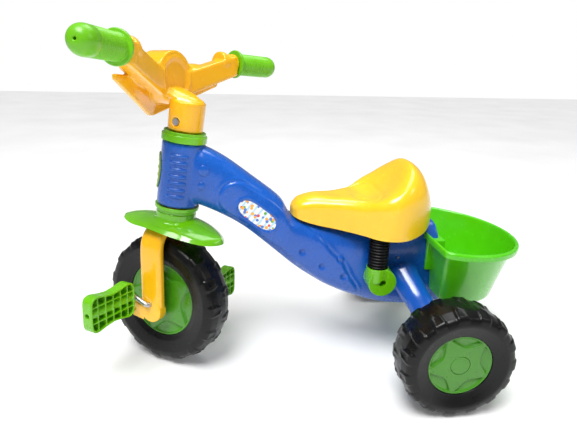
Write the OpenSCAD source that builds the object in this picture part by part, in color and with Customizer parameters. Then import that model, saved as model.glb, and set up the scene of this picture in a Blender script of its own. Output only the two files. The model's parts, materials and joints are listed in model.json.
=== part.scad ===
// Children's pedal tricycle with a blow-moulded frame, a direct-drive front wheel,
// a turning fork and handlebar, a saddle seat and a rear basket.
// +X is forward, +Y is the rider's left, +Z is up, and Z = 0 is the floor.
// At rest the fork and handlebar are turned to the rider's right.

/* [Overall] */
// Distance between the rear axle and the front axle
wheelbase = 446; // [380:1:540]
// Distance between the middles of the rear tyres
rear_track = 370; // [310:1:450]
// Backward lean of the steering column from upright, in degrees
head_angle = 8.5; // [6:0.5:12]
// Turn of the fork and handlebar at rest, in degrees
steer_rest = -33; // [-45:1:45]
// Distance of the steering axis ahead of the front axle
steer_lead = 4; // [0:1:12]

/* [Front wheel] */
// Outer radius of the front tyre
front_wheel_r = 114; // [100:1:137]
// Width of the front tyre
front_wheel_w = 60; // [46:1:72]
// Radius of the front hubcaps
front_hub_r = 66; // [50:1:75]

/* [Rear wheels] */
// Outer radius of the rear tyres
rear_wheel_r = 90; // [75:1:108]
// Width of the rear tyres
rear_wheel_w = 70; // [56:1:84]
// Radius of the rear hubcaps
rear_hub_r = 50; // [40:1:58]
// Radius of the rear axle rod
axle_r = 4; // [3:0.5:5]

/* [Tyres] */
// Rounding radius of the tyre shoulders
shoulder_r = 12; // [8:1:16]
// Wall thickness of the hollow tyres
tyre_wall = 4; // [3:0.5:5]
// Depth of the hubcap face below the side of the tyre
hub_recess = 9; // [6:0.5:12]
// Number of drive lugs around each tyre shoulder
lug_count = 14; // [10:1:18]
// Depth of the grooves between the lugs
lug_depth = 3; // [2:0.5:4]

/* [Pedals] */
// Distance from the front axle to a pedal spindle
crank_throw = 33; // [28:1:42]
// Radius of the bent crank rod
crank_r = 4; // [3:0.5:5]
// Angle of the left crank arm above straight ahead, in degrees
crank_angle = 22; // [0:1:45]
// Length of a pedal along its spindle
pedal_length = 90; // [75:1:108]
// Height of a pedal at its ends
pedal_height = 60; // [50:1:72]
// Thickness of a pedal
pedal_t = 20; // [17:1:24]

/* [Steering] */
// Length of the head tube
head_length = 106; // [88:1:128]
// Outer radius of the head tube
head_r = 34; // [29:1:40]
// Radius of the fork column
column_r = 16; // [13:0.5:19]
// Height of the upper head collar
upper_collar_h = 16; // [13:1:20]
// Height of the lower head collar
lower_collar_h = 12; // [10:1:15]
// Gap between the front tyre and each fork leg
fork_gap = 3; // [2:0.5:8]
// Thickness of a fork leg
fork_leg_t = 17; // [14:1:20]
// Fore and aft width of a fork leg
fork_leg_w = 42; // [36:1:48]

/* [Mudguard] */
// Length of the mudguard
guard_l = 196; // [165:1:235]
// Width of the mudguard
guard_w = 104; // [88:1:120]

/* [Handlebar] */
// Distance between the outer ends of the grips
bar_span = 462; // [400:1:550]
// Height of the bar ends above the front axle
bar_rise = 401; // [386:1:450]
// Radius of the handlebar stem
stem_r = 28; // [24:1:32]
// Radius of a hand grip
grip_r = 18.8; // [15.5:0.1:22.5]
// Length of a hand grip
grip_length = 96; // [80:1:115]
// Radius of the round flange at the inner end of a grip
grip_flange_r = 24; // [22:1:30]
// Radius of the bar end inside a grip
bar_end_r = 11; // [9:0.5:13]
// Diameter of the bolt that holds the handlebar to the fork column
stem_bolt_d = 6; // [5:0.5:8]

/* [Seat] */
// Width of the seat at its widest place
seat_w = 184; // [154:1:220]
// Wall thickness of the seat and basket mouldings
shell_t = 3; // [2:0.5:5]

/* [Basket] */
// Width of the basket across its rim
basket_w = 276; // [240:1:320]
// Depth of the basket below its rim
basket_depth = 106; // [90:1:120]

/* [Frame] */
// Width of the frame body under the seat
body_w = 90; // [76:1:105]
// Width of the frame beam behind the head tube
beam_w = 64; // [56:1:68]
// Wall thickness of the hollow frame
frame_wall = 6; // [4:0.5:8]
// Clearance between a shaft and its bore
running_gap = 0.08; // [0.05:0.01:0.1]
// Clearance between neighbouring pieces that move apart
part_gap = 0.4; // [0.3:0.1:0.8]

/* [Hidden] */
$fn = 96;

// Place of the rear axle, behind the middle of the toy
rear_axle_x = -195.82;
front_axle_x = rear_axle_x + wheelbase;

// Height of the front axle when straight: turning the tilted fork leans the wheel, and its
// lower shoulder then stands on the floor
lean = asin(sin(head_angle) * sin(abs(steer_rest)));
front_axle_z = shoulder_r + (front_wheel_r - shoulder_r) * cos(lean)
    + (front_wheel_w / 2 - shoulder_r) * sin(lean)
    - steer_lead * cos(head_angle) * sin(head_angle) * (1 - cos(steer_rest));

// Heights along the steering axis, measured from the level of the front axle
tyre_clearance = 6;
crown_h = 18;
crown_s0 = front_wheel_r + tyre_clearance;
crown_s1 = crown_s0 + crown_h;
guard_t = 3;
guard_x = -12;
guard_neck_h = 20;
guard_arc_r = (guard_l * guard_l * 1.1 / 4 + guard_w * guard_w / 4) / guard_w;
neck_s1 = crown_s1 + guard_neck_h;
collar_s0 = neck_s1 + part_gap;
head_s0 = collar_s0 + lower_collar_h;
head_s1 = head_s0 + head_length;
bar_s0 = head_s1 + upper_collar_h + part_gap;
bar_s1 = bar_s0 + 46;
column_s1 = bar_s0 + 38;
bolt_s = bar_s0 + 14;
collar_r = head_r + 2;
bush_r = column_r + 5;
bush_l = 22;

// Lateral places at the front wheel
fork_in = front_wheel_w / 2 + fork_gap;
fork_out = fork_in + fork_leg_t;
front_hub_y = front_wheel_w / 2 - hub_recess;
arm_y = fork_out + crank_r + 1.2;
bend_r = crank_r + 1;
washer_t = 1.4;
pedal_y0 = arm_y + bend_r + washer_t + 0.6;
pedal_boss_r = crank_r + 4;
spindle_y1 = pedal_y0 + pedal_length * 0.72;

// Lateral places at the rear wheels
rear_y = rear_track / 2;
rear_face = rear_wheel_w / 2 - hub_recess;
leg_y1 = rear_y - rear_wheel_w / 2 - 1.5;
spacer_t = 1.2;
cap_r = 15;
cap_socket_h = 6;

// Hubcap build: a thin disc with a raised star on it
cap_disc_t = 2.5;
cap_star_t = 2;

// Grip direction in plan: the bar ends sweep back
grip_sweep = 17;
grip_flange_t = 5;
grip_in_y = bar_span / 2 - grip_length * cos(grip_sweep);
grip_in_x = -40;

// Seat and body heights measured from the rear axle
body_top = 151;
body_hw = body_w / 2;
side_face = body_hw + 0.4;
axle_boss_r = axle_r + 12;
beam_hw = beam_w / 2;
shock_x = 92;
shock_y = body_hw + 19.2;
shock_r = 17;
bracket_z = 74;
bracket_r = 24;
body_screw_at = [51, 105];

// Basket: the rim's arc and its straight front, measured in basket coordinates
basket_x = -72;
rim_z = 141;
rim_slope = 5;
rim_h = 10;
rim_lip = 7;
rim_arc_x = 38;
basket_front = 77;
floor_share = 0.74;
floor_arc_x = 10;
floor_setback = 26;

// ---------- shared functions and placing modules ----------

// Point of the side view, in rear-axle coordinates, from a place x ahead of the steering
// axis and s along it
function on_head(x, s) = [
    wheelbase + steer_lead - s * sin(head_angle) + x * cos(head_angle),
    front_axle_z - rear_wheel_r + s * cos(head_angle) + x * sin(head_angle)
];

// Smooth curve through a list of points, with n steps between neighbours
function curve_at(a, b, c, d, t) =
    0.5 * (2 * b + (c - a) * t + (2 * a - 5 * b + 4 * c - d) * t * t + (3 * b - a - 3 * c + d) * t * t * t);
function smooth(p, n) = [
    for (i = [0 : len(p) - 2])
        for (k = [0 : n - 1])
            curve_at(p[max(i - 1, 0)], p[i], p[i + 1], p[min(i + 2, len(p) - 1)], k / n),
    p[len(p) - 1]
];

// Rounded outline value: a circle for n = 2, closer to a square for larger n
function bulge(c, n) = sign(c) * pow(abs(c), 2 / n);

// Solid through a list of rings of points, closed by a flat cap at both ends
module skin(rings) {
    m = len(rings[0]);
    last = len(rings) - 1;
    points = [for (r = rings) for (p = r) p];
    faces = concat(
        [[for (i = [0 : m - 1]) i]],
        [for (k = [0 : last - 1]) for (i = [0 : m - 1]) each [
            [k * m + i, (k + 1) * m + i, k * m + (i + 1) % m],
            [(k + 1) * m + i, (k + 1) * m + (i + 1) % m, k * m + (i + 1) % m]
        ]],
        [[for (i = [m - 1 : -1 : 0]) last * m + i]]
    );
    polyhedron(points = points, faces = faces);
}

module on_rear() {
    translate([rear_axle_x, 0, rear_wheel_r])
        children();
}

module on_front() {
    translate([front_axle_x, 0, front_axle_z])
        children();
}

// Coordinates of the steering axis: Z runs up the axis from the level of the front axle
module on_column() {
    translate([steer_lead, 0, 0])
        rotate([0, -head_angle, 0])
            children();
}

// Turns straight-ahead pieces about the steering axis to their place at rest
module steered() {
    on_front()
        on_column()
            rotate([0, 0, steer_rest])
                rotate([0, head_angle, 0])
                    translate([-steer_lead, 0, 0])
                        children();
}

// Turns what lies along +Z to lie along +Y
module along_y() {
    rotate([-90, 0, 0])
        children();
}

module rod_y(x, z, y0, y1, r) {
    translate([x, y0, z])
        along_y()
            cylinder(h = y1 - y0, r = r);
}

// A left-hand piece, or its mirror image on the right
module hand(side) {
    if (side > 0)
        children();
    else
        mirror([0, 1, 0])
            children();
}

// ---------- wheels ----------

// Half section of a hollow tyre: X is the radius and Y runs outward along the axle
module tyre_section(r, w, hub_r, open_both) {
    hw = w / 2;
    cap_seat = hw - hub_recess - cap_disc_t - cap_star_t;
    inner_r = shoulder_r - tyre_wall;
    difference() {
        union() {
            translate([hub_r, -hw])
                square([r - hub_r - shoulder_r, w]);
            translate([hub_r, -hw + shoulder_r])
                square([r - hub_r, w - 2 * shoulder_r]);
            for (s = [-1, 1])
                translate([r - shoulder_r, s * (hw - shoulder_r)])
                    circle(shoulder_r);
        }
        translate([hub_r + tyre_wall, -hw + tyre_wall])
            square([r - hub_r - tyre_wall - shoulder_r, w - 2 * tyre_wall]);
        translate([hub_r + tyre_wall, -hw + shoulder_r])
            square([r - lug_depth - hub_r - 2 * tyre_wall, w - 2 * shoulder_r]);
        for (s = [-1, 1])
            translate([r - shoulder_r - lug_depth / 2, s * (hw - shoulder_r)])
                circle(inner_r - lug_depth / 2);
        translate([hub_r - 1, -cap_seat + 4])
            square([tyre_wall + 3, 2 * cap_seat - 8]);
    }
    // ledges that carry the hubcaps, or a closed web on the inner side
    translate([hub_r - 5, cap_seat - 4])
        square([6, 4]);
    if (open_both)
        translate([hub_r - 5, -cap_seat])
            square([6, 4]);
    else
        translate([10, -cap_seat])
            square([hub_r - 9, 4]);
}

module tyre(r, w, hub_r, bore_r, open_both) {
    hw = w / 2;
    cap_seat = hw - hub_recess - cap_disc_t - cap_star_t;
    difference() {
        along_y()
            rotate_extrude()
                union() {
                    tyre_section(r, w, hub_r, open_both);
                    translate([bore_r, -cap_seat])
                        square([12 - bore_r, 2 * cap_seat - (open_both ? 0 : cap_socket_h)]);
                    if (open_both)
                        translate([bore_r, -2])
                            square([r - lug_depth - 2 - bore_r, 4]);
                }
        // grooves between the lugs, staggered from one shoulder to the other
        for (s = [-1, 1])
            for (i = [0 : lug_count - 1])
                rotate([0, (i + s / 4) * 360 / lug_count, 0])
                    translate([r - lug_depth, s * (hw + 6) - (s < 0 ? 0 : hw * 0.86), -5])
                        cube([lug_depth + 1, hw * 0.86, 10]);
    }
}

// Disc with a raised five-lobed star; its back face lies at y = 0
module hubcap(r, bore_r) {
    difference() {
        union() {
            along_y()
                cylinder(h = cap_disc_t, r = r - part_gap);
            for (i = [0 : 4])
                rotate([0, i * 72, 0])
                    rod_y(0, r * 0.6, cap_disc_t / 2, cap_disc_t + cap_star_t, r * 0.25);
            rod_y(0, 0, cap_disc_t / 2, cap_disc_t + cap_star_t, r * 0.46);
        }
        rod_y(0, 0, -1, cap_disc_t + cap_star_t + 1, bore_r);
    }
}

module rear_tyre(side) {
    color("#1c1c1e")
        on_rear()
            hand(side)
                translate([0, rear_y, 0])
                    tyre(rear_wheel_r, rear_wheel_w, rear_hub_r, axle_r + running_gap, false);
}

module rear_hubcap(side) {
    color("#4fa83a")
        on_rear()
            hand(side)
                translate([0, rear_y + rear_face - cap_disc_t - cap_star_t, 0])
                    hubcap(rear_hub_r, cap_r + 0.3);
}

// Round cap with a short skirt; it closes the middle of a rear hubcap over the push nut
module rear_centre_cap(side) {
    skirt = 6.5;
    color("#57b23f")
        on_rear()
            hand(side)
                translate([0, rear_y + rear_face, 0])
                    difference() {
                        rod_y(0, 0, -skirt, 2, cap_r);
                        rod_y(0, 0, -skirt - 1, 0, cap_r - 2);
                    }
}

module rear_axle() {
    half = rear_y + rear_face - 1.5;
    color("#b8bcc0")
        on_rear()
            rod_y(0, 0, -half, half, axle_r);
}

module rear_spacers() {
    color("#c8ccd0")
        on_rear()
            for (side = [-1, 1])
                hand(side)
                    difference() {
                        rod_y(0, 0, leg_y1, leg_y1 + spacer_t, axle_r + 6);
                        rod_y(0, 0, leg_y1 - 1, leg_y1 + spacer_t + 1, axle_r);
                    }
}

module rear_push_nuts() {
    y0 = rear_y + rear_face - cap_disc_t - cap_star_t - cap_socket_h + 0.3;
    color("#c8ccd0")
        on_rear()
            for (side = [-1, 1])
                hand(side)
                    difference() {
                        rod_y(0, 0, y0, y0 + 3, axle_r + 5);
                        rod_y(0, 0, y0 - 1, y0 + 4, axle_r);
                    }
}

module front_tyre() {
    color("#1c1c1e")
        steered()
            tyre(front_wheel_r, front_wheel_w, front_hub_r, crank_r, true);
}

module front_hubcaps() {
    color("#4fa83a")
        steered()
            for (side = [-1, 1])
                hand(side)
                    translate([0, front_hub_y - cap_disc_t - cap_star_t, 0])
                        hubcap(front_hub_r, crank_r + 0.3);
}

// ---------- crank and pedals ----------

// Place of the pedal spindle of one side, in front-axle coordinates
function pedal_place(side) = [
    side * crank_throw * cos(crank_angle), 0, side * crank_throw * sin(crank_angle)
];

// One crank side in front-axle coordinates turned so that the arm points along +X
module crank_side() {
    translate([0, arm_y - bend_r, 0])
        crank_elbow();
    translate([bend_r, arm_y, 0])
        rotate([0, 90, 0])
            cylinder(h = crank_throw - 2 * bend_r, r = crank_r);
    translate([crank_throw, arm_y + bend_r, 0])
        rotate([0, 0, 180])
            crank_elbow();
    rod_y(crank_throw, 0, arm_y + bend_r, spindle_y1, crank_r);
}

// Quarter bend of the rod, from along Y at the origin to along X
module crank_elbow() {
    translate([bend_r, 0, 0])
        rotate([0, 0, 90])
            rotate_extrude(angle = 90)
                translate([bend_r, 0])
                    circle(crank_r);
}

module crank_axle() {
    color("#b8bcc0")
        steered() {
            rod_y(0, 0, -arm_y + bend_r, arm_y - bend_r, crank_r);
            for (side = [-1, 1])
                hand(side)
                    rotate([0, side > 0 ? -crank_angle : 180 - crank_angle, 0])
                        crank_side();
        }
}

module pedal_rings(y0, t, r) {
    for (side = [-1, 1])
        hand(side)
            difference() {
                rod_y(pedal_place(side)[0], pedal_place(side)[2], y0, y0 + t, r);
                rod_y(pedal_place(side)[0], pedal_place(side)[2], y0 - 1, y0 + t + 1, crank_r);
            }
}

module pedal_washers() {
    color("#c8ccd0")
        steered()
            pedal_rings(pedal_y0 - washer_t - 0.3, washer_t, crank_r + 6);
}

module pedal_push_nuts() {
    color("#d0d4d8")
        steered()
            pedal_rings(spindle_y1 - 5, 2.5, crank_r + 3.5);
}

// Hourglass block with a ribbed back, an open pocket for the push nut and a bored tube
module pedal(side) {
    hl = pedal_length / 2;
    hh = pedal_height / 2;
    waist = 7;
    waist_r = (hl * 0.6 * hl * 0.6 + waist * waist) / (2 * waist);
    rib = 3;
    cells = 6;
    pitch = (pedal_length - 2 * rib) / cells;
    nut_y0 = spindle_y1 - pedal_y0 - 5.4;
    color("#5cc42e")
        steered()
            translate(pedal_place(side))
                hand(side)
                    translate([0, pedal_y0, 0])
                        difference() {
                            union() {
                                intersection() {
                                    translate([-pedal_t / 2, 0, -hh])
                                        cube([pedal_t, pedal_length, 2 * hh]);
                                    translate([-pedal_t / 2 - 1, hl, 0])
                                        rotate([0, 90, 0])
                                            cylinder(h = pedal_t + 2, r = norm([hl, hh]) - 6);
                                }
                                rod_y(0, 0, pedal_length - 2, pedal_length + 3, pedal_boss_r);
                            }
                            for (s = [-1, 1])
                                translate([-pedal_t / 2 - 1, hl, s * (hh - waist + waist_r)])
                                    rotate([0, 90, 0])
                                        cylinder(h = pedal_t + 2, r = waist_r);
                            for (s = [-1, 1])
                                for (i = [0 : cells - 1])
                                    translate([
                                        -pedal_t / 2 - 1,
                                        rib + i * pitch,
                                        s > 0 ? pedal_boss_r : 3 - hh + waist
                                    ])
                                        cube([pedal_t - 2, pitch - rib / 2, hh - waist - 3 - pedal_boss_r]);
                            rod_y(0, 0, -1, spindle_y1 - pedal_y0 + 1, crank_r + running_gap);
                            translate([-pedal_t / 2 - 1, nut_y0, -pedal_boss_r])
                                cube([pedal_t - 1.2, 12, 2 * pedal_boss_r]);
                        }
}

// ---------- fork ----------

module fork() {
    half = fork_leg_w / 2;
    foot = 32;
    color("#f5b820")
        steered()
            difference() {
                union() {
                    on_column() {
                        // column through the head tube, on a crown that joins two legs
                        translate([0, 0, crown_s1 - 1])
                            cylinder(h = column_s1 - crown_s1 + 1, r = column_r);
                        translate([-half, -fork_out + 3, crown_s0])
                            cube([2 * half, 2 * fork_out - 6, crown_h - 7]);
                        translate([-half, -fork_in - 2, crown_s0])
                            cube([2 * half, 2 * fork_in + 4, crown_h]);
                        for (side = [-1, 1])
                            hand(side) {
                                translate([-half, fork_in, -foot + half])
                                    cube([2 * half, fork_leg_t, crown_s1 - 12 + foot - half]);
                                rod_y(0, -foot + half, fork_in, fork_out, half);
                            }
                    }
                }
                // axle seats
                rod_y(0, 0, -fork_out - 1, fork_out + 1, crank_r + running_gap);
                // pockets for the clamps, open to the front
                on_column()
                    for (side = [-1, 1])
                        hand(side)
                            translate([6, fork_in + 3, -foot - 1])
                                cube([half, fork_leg_t - 3 + 1, 27]);
                on_column()
                    rod_y(0, bolt_s, -column_r - 1, column_r + 1, stem_bolt_d / 2 + 0.2);
                on_column()
                    for (side = [-1, 1])
                        hand(side)
                            translate([-3, (fork_in + fork_out) / 2 + 1.5, -foot + 12.7])
                                rotate([0, 90, 0])
                                    cylinder(h = half, r = 2);
            }
}

// Half-round boss, screwed to the front of a fork leg below the axle
module axle_clamp(side) {
    half = fork_leg_w / 2;
    foot = 32;
    color("#f5b820")
        steered()
            on_column()
                hand(side)
                    difference() {
                        union() {
                            translate([6.3, fork_in + 3.3, -foot])
                                cube([half - 1, fork_leg_t - 3.3, 25.4]);
                            translate([half + 5, fork_in + 3.3, -foot + 12.7])
                                rotate([-90, 0, 0])
                                    cylinder(h = fork_leg_t - 3.3, r = 12.7);
                        }
                        rod_y(half + 8, -foot + 12.7, fork_in + 8, fork_out + 1, 4);
                        translate([0, (fork_in + fork_out) / 2 + 1.5, -foot + 12.7])
                            rotate([0, 90, 0])
                                cylinder(h = half + 1, r = 2);
                    }
}

module clamp_screws() {
    half = fork_leg_w / 2;
    foot = 32;
    color("#b8bcc0")
        steered()
            on_column()
                for (side = [-1, 1])
                    hand(side)
                        translate([-2, (fork_in + fork_out) / 2 + 1.5, -foot + 12.7])
                            rotate([0, 90, 0])
                                cylinder(h = half + 3, r = 2);
}

// Leaf-shaped arched guard over the front tyre, with a neck around the fork column
module mudguard() {
    arch_r = 300;
    droop_r = 120;
    top = crown_s1 + 11;
    color("#3f9e2f")
        steered()
            difference() {
                union() {
                    intersection() {
                        translate([guard_x, 0, top - arch_r])
                            along_y()
                                rotate_extrude()
                                    translate([arch_r - droop_r, 0])
                                        difference() {
                                            circle(droop_r);
                                            circle(droop_r - guard_t);
                                            translate([-2 * droop_r, -2 * droop_r])
                                                square([2 * droop_r, 4 * droop_r]);
                                        }
                        // two arcs meet in the rounded tips of the leaf
                        translate([guard_x, 0, top - 60])
                            intersection() {
                                translate([0, guard_arc_r - guard_w / 2, 0])
                                    cylinder(h = 70, r = guard_arc_r);
                                translate([0, guard_w / 2 - guard_arc_r, 0])
                                    cylinder(h = 70, r = guard_arc_r);
                                translate([-guard_l / 2, -guard_w, 0])
                                    cube([guard_l, 2 * guard_w, 70]);
                            }
                    }
                    on_column()
                        translate([0, 0, crown_s1 + 0.2])
                            cylinder(h = guard_neck_h - 0.2, r = collar_r - 3);
                }
                on_column()
                    translate([0, 0, crown_s0])
                        cylinder(h = 60, r = column_r + 0.3);
            }
}

// ---------- handlebar ----------

// Moves a piece from the left bar end, with Z along the grip, into front-axle coordinates
module at_bar_end() {
    translate([grip_in_x, grip_in_y, bar_rise])
        rotate([0, 0, grip_sweep])
            along_y()
                children();
}

module handlebar() {
    drum_r = 40;
    arm_root = [0, 16, bar_rise - 56];
    color("#f7c228")
        steered()
            difference() {
                union() {
                    on_column()
                        translate([0, 0, bar_s0])
                            cylinder(h = bar_s1 - bar_s0, r = stem_r);
                    // round lamp-like drum in front
                    translate([-21, 0, bar_rise - 32])
                        rotate([0, 90, 0])
                            cylinder(h = 42, r = drum_r);
                    // sloping oval cap on the stem
                    hull()
                        for (p = [[2, -50, 24], [-50, -69, 19]])
                            translate([p[0], 0, bar_rise + p[1] - 6])
                                rotate([0, -17, 0])
                                    cylinder(h = 14, r = p[2], $fn = 32);
                    for (side = [-1, 1])
                        hand(side) {
                            // arm from the stem to the bar end
                            hull() {
                                translate([-20, 12, bar_rise - 62])
                                    cube([24, 8, 36]);
                                translate([grip_in_x - 14, grip_in_y - 14, bar_rise - 20])
                                    cube([26, 8, 32]);
                            }
                            // one half of the pointed shield
                            hull() {
                                translate([32, 0, bar_rise - 92])
                                    cylinder(h = 4, r = 5, $fn = 32);
                                translate([10, 0, bar_rise - 36])
                                    cylinder(h = 4, r = 5, $fn = 32);
                                translate([-14, 118, bar_rise - 40])
                                    cylinder(h = 8, r = 5, $fn = 32);
                            }
                            translate([grip_in_x, grip_in_y, bar_rise])
                                rotate([0, 0, grip_sweep])
                                    rod_y(0, 0, -10, 0, 15);
                            at_bar_end()
                                cylinder(h = grip_length - 26, r = bar_end_r);
                        }
                }
                // socket for the fork column, and the bolt through both
                on_column()
                    translate([0, 0, bar_s0 - 1])
                        cylinder(h = column_s1 - bar_s0 + 1.5, r = column_r + 0.3);
                on_column()
                    rod_y(0, bolt_s, -stem_r - 1, stem_r + 1, stem_bolt_d / 2 + 0.2);
                on_column()
                    for (side = [-1, 1])
                        hand(side)
                            rod_y(0, bolt_s, stem_r - 5, stem_r + 1, 7);
            }
}

module grip(side) {
    dome = 12;
    ribs = 7;
    rib_zone = grip_length - grip_flange_t - dome - 14;
    color("#5cc42e")
        steered()
            hand(side)
                at_bar_end()
                    difference() {
                        rotate_extrude()
                            difference() {
                                union() {
                                    square([grip_flange_r, grip_flange_t]);
                                    square([grip_r, grip_length - dome]);
                                    square([grip_r - dome, grip_length]);
                                    translate([grip_r - dome, grip_length - dome])
                                        intersection() {
                                            circle(dome);
                                            square(dome);
                                        }
                                }
                                // thin grooves between the finger ribs
                                for (i = [0 : ribs])
                                    translate([grip_r + 1, grip_flange_t + 8 + i * rib_zone / ribs])
                                        circle(2);
                            }
                        translate([0, 0, -1])
                            cylinder(h = grip_length - 24, r = bar_end_r);
                        cylinder(h = grip_length + 1, r = 2);
                    }
}

module stem_bolt() {
    color("#b8bcc0")
        steered()
            on_column() {
                rod_y(0, bolt_s, -stem_r + 1, stem_r - 5, stem_bolt_d / 2);
                rod_y(0, bolt_s, stem_r - 5, stem_r - 1.5, 5.5);
            }
}

module stem_nut() {
    color("#b8bcc0")
        steered()
            on_column()
                difference() {
                    translate([0, -stem_r + 5, bolt_s])
                        rotate([90, 0, 0])
                            cylinder(h = 4, r = 5.5, $fn = 6);
                    rod_y(0, bolt_s, -stem_r, stem_r, stem_bolt_d / 2);
                }
}

// ---------- frame ----------

// Tail of the body: top and bottom places in the side view
body_back = [-18, 163, -42, 6];

// Stations of the beam and body from the head tube to the tail, in rear-axle coordinates:
// top and bottom places in the side view as x, z, x, z and then the half width
function body_stations() = [
    concat(on_head(-12, head_s1 - 5), on_head(-14, head_s0 + 6), beam_hw - 6),
    concat(on_head(-head_r - 1, head_s1 - 5), on_head(-head_r - 1, head_s0 + 6), beam_hw),
    concat(on_head(-70, head_s1 - 18), on_head(-76, head_s0 - 6), beam_hw),
    concat(on_head(-112, head_s1 - 40), on_head(-122, head_s0 - 26), beam_hw),
    [254, 203, 238, 90, beam_hw + 1],
    [237, 177, 224, 79, beam_hw + 1],
    [220, 169, 206, 66, beam_hw + 2],
    [185, 161, 166, 42, (beam_hw + body_hw) / 2 + 2],
    [120, 153, 112, 20, body_hw],
    [60, body_top, 60, 6, body_hw],
    [8, body_top + 8, 0, 2, body_hw],
    [body_back[0], body_back[1], body_back[2], body_back[3], body_hw - 2]
];

// Half width of the body side at a place x, from the beam to the widest part
function side_y(x) = beam_hw + (body_hw - beam_hw) * min(max((225 - x) / 80, 0), 1);

module body_skin(stations, inset) {
    skin([
        for (s = stations)
            let (
                top = [s[0], s[1] - inset],
                low = [s[2], s[3] + inset],
                mid = (top + low) / 2,
                half = (top - low) / 2
            )
            [for (a = [0 : 15 : 345])
                [mid[0] + half[0] * bulge(cos(a), 3.2), (s[4] - inset) * bulge(sin(a), 3.2),
                    mid[1] + half[1] * bulge(cos(a), 3.2)]]
    ]);
}

module body_block() {
    body_skin(smooth(body_stations(), 2), 0);
}

// Closed hollow inside the moulding, from behind the head tube to over the rear axle
module body_hollow() {
    inner = smooth([
        for (s = body_stations())
            if (s[0] >= 0 && s[0] < wheelbase - 200) [s[0], s[1], s[2], max(s[3], axle_boss_r + 3), s[4]]
    ], 2);
    body_skin(inner, frame_wall);
}

module in_head_coordinates() {
    translate([wheelbase, 0, front_axle_z - rear_wheel_r])
        on_column()
            children();
}

// Place of the side label: its middle in rear-axle coordinates, its length, height and slope
label_at = [293, 181];
label_l = 72;
label_h = 29;
label_slope = 37;

module pill(l, h, t) {
    for (s = [-1, 1])
        translate([s * (l - h) / 2, 0, 0])
            cylinder(h = t, r = h / 2);
    translate([-(l - h) / 2, -h / 2, 0])
        cube([l - h, h, t]);
}

module at_label(y) {
    translate([label_at[0], y, label_at[1]])
        rotate([0, -label_slope, 0])
            rotate([90, 0, 0])
                children();
}

module frame() {
    color("#1f57c8")
        on_rear()
            difference() {
                union() {
                    body_block();
                    rod_y(0, 0, -body_hw, body_hw, axle_boss_r);
                    in_head_coordinates() {
                        translate([0, 0, head_s0])
                            cylinder(h = head_length, r = head_r);
                        for (turn = [60, 240])
                            for (i = [0 : 6])
                                translate([0, 0, head_s0 + 20 + i * 11])
                                    rotate([0, 0, turn])
                                        rotate_extrude(angle = 60)
                                            translate([head_r - 1, 0])
                                                circle(2.6);
                    }
                    // raised bosses on the beam beside the head tube
                    for (side = [-1, 1])
                        hand(side) {
                            rod_y(378, 256, beam_hw - 1, beam_hw + 2, 8);
                            rod_y(383, 230, beam_hw - 1, beam_hw + 2, 5.5);
                        }
                }
                body_hollow();
                in_head_coordinates() {
                    translate([0, 0, head_s0 - 40])
                        cylinder(h = head_length + 60, r = column_r + 3);
                    for (s = [head_s0 - 1, head_s1 - bush_l - part_gap])
                        translate([0, 0, s])
                            cylinder(h = bush_l + part_gap + 1, r = bush_r + 0.05);
                }
                rod_y(0, 0, -body_hw - 1, body_hw + 1, axle_r);
                for (p = seat_posts)
                    translate([p[0], 0, p[1] - seat_screw_grip])
                        cylinder(h = 30, r = 2);
                basket_screw_rods(2, 16);
                // shallow recesses that hold the side labels
                for (side = [-1, 1])
                    hand(side) {
                        at_label(beam_hw + 1)
                            pill(label_l + 0.8, label_h + 0.8, 2);
                        for (p = [[216, 115], [152, 103], [182, 90], [144, 71]])
                            rod_y(p[0], p[1], side_y(p[0]) - 3, body_hw + 6, 5);
                        rod_y(body_screw_at[0], body_screw_at[1], body_hw - 5, body_hw + 1, 2);
                    }
            }
}

// One rear leg: an arched root on the body that runs out and down to the axle
module rear_leg(side) {
    root = [36, 68];
    color("#2460d2")
        on_rear()
            hand(side)
                difference() {
                    union() {
                        hull() {
                            rod_y(root[0], root[1], side_face, body_hw + 6, 25);
                            rod_y(20, 38, body_hw + 45, body_hw + 52, 21);
                        }
                        hull() {
                            rod_y(20, 38, body_hw + 45, body_hw + 52, 21);
                            rod_y(0, 0, leg_y1 - 12, leg_y1, 18);
                        }
                        rod_y(0, 0, side_face, leg_y1, 14);
                    }
                    rod_y(0, 0, body_hw - 1, leg_y1 + 1, axle_r);
                }
}

module body_screws() {
    color("#b8bcc0")
        on_rear()
            for (side = [-1, 1])
                hand(side)
                    rod_y(body_screw_at[0], body_screw_at[1], body_hw - 5, body_hw + 1.5, 2);
}

// Flanged bush, pressed into one end of the head tube
module head_collar(s_flange, h, s_bush, foot_r) {
    color("#3f9e2f")
        on_rear()
            in_head_coordinates()
                difference() {
                    union() {
                        translate([0, 0, s_flange])
                            cylinder(h = h, r = foot_r);
                        translate([0, 0, s_flange + 2])
                            cylinder(h = h - 4, r = collar_r);
                        translate([0, 0, s_bush])
                            cylinder(h = bush_l, r = bush_r);
                    }
                    translate([0, 0, s_flange - bush_l - 1])
                        cylinder(h = h + 2 * bush_l + 2, r = column_r + running_gap);
                }
}

module upper_head_collar() {
    head_collar(head_s1, upper_collar_h, head_s1 - bush_l, head_r - 1);
}

module lower_head_collar() {
    head_collar(collar_s0, lower_collar_h, head_s0, head_r - 1);
}

// Oval plate on the front of the head tube
module head_badge() {
    color("#e8c23a")
        on_rear()
            in_head_coordinates()
                intersection() {
                    difference() {
                        translate([0, 0, head_s0])
                            cylinder(h = head_length, r = head_r + 1.8);
                        translate([0, 0, head_s0 - 1])
                            cylinder(h = head_length + 2, r = head_r + 0.2);
                    }
                    translate([0, 0, head_s0 + head_length / 2])
                        rotate([0, 90, 0])
                            pill(60, 34, 60);
                }
}

module side_label(side) {
    color("#d9e8f4")
        on_rear()
            hand(side)
                at_label(beam_hw)
                    pill(label_l, label_h, 1);
}

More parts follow.
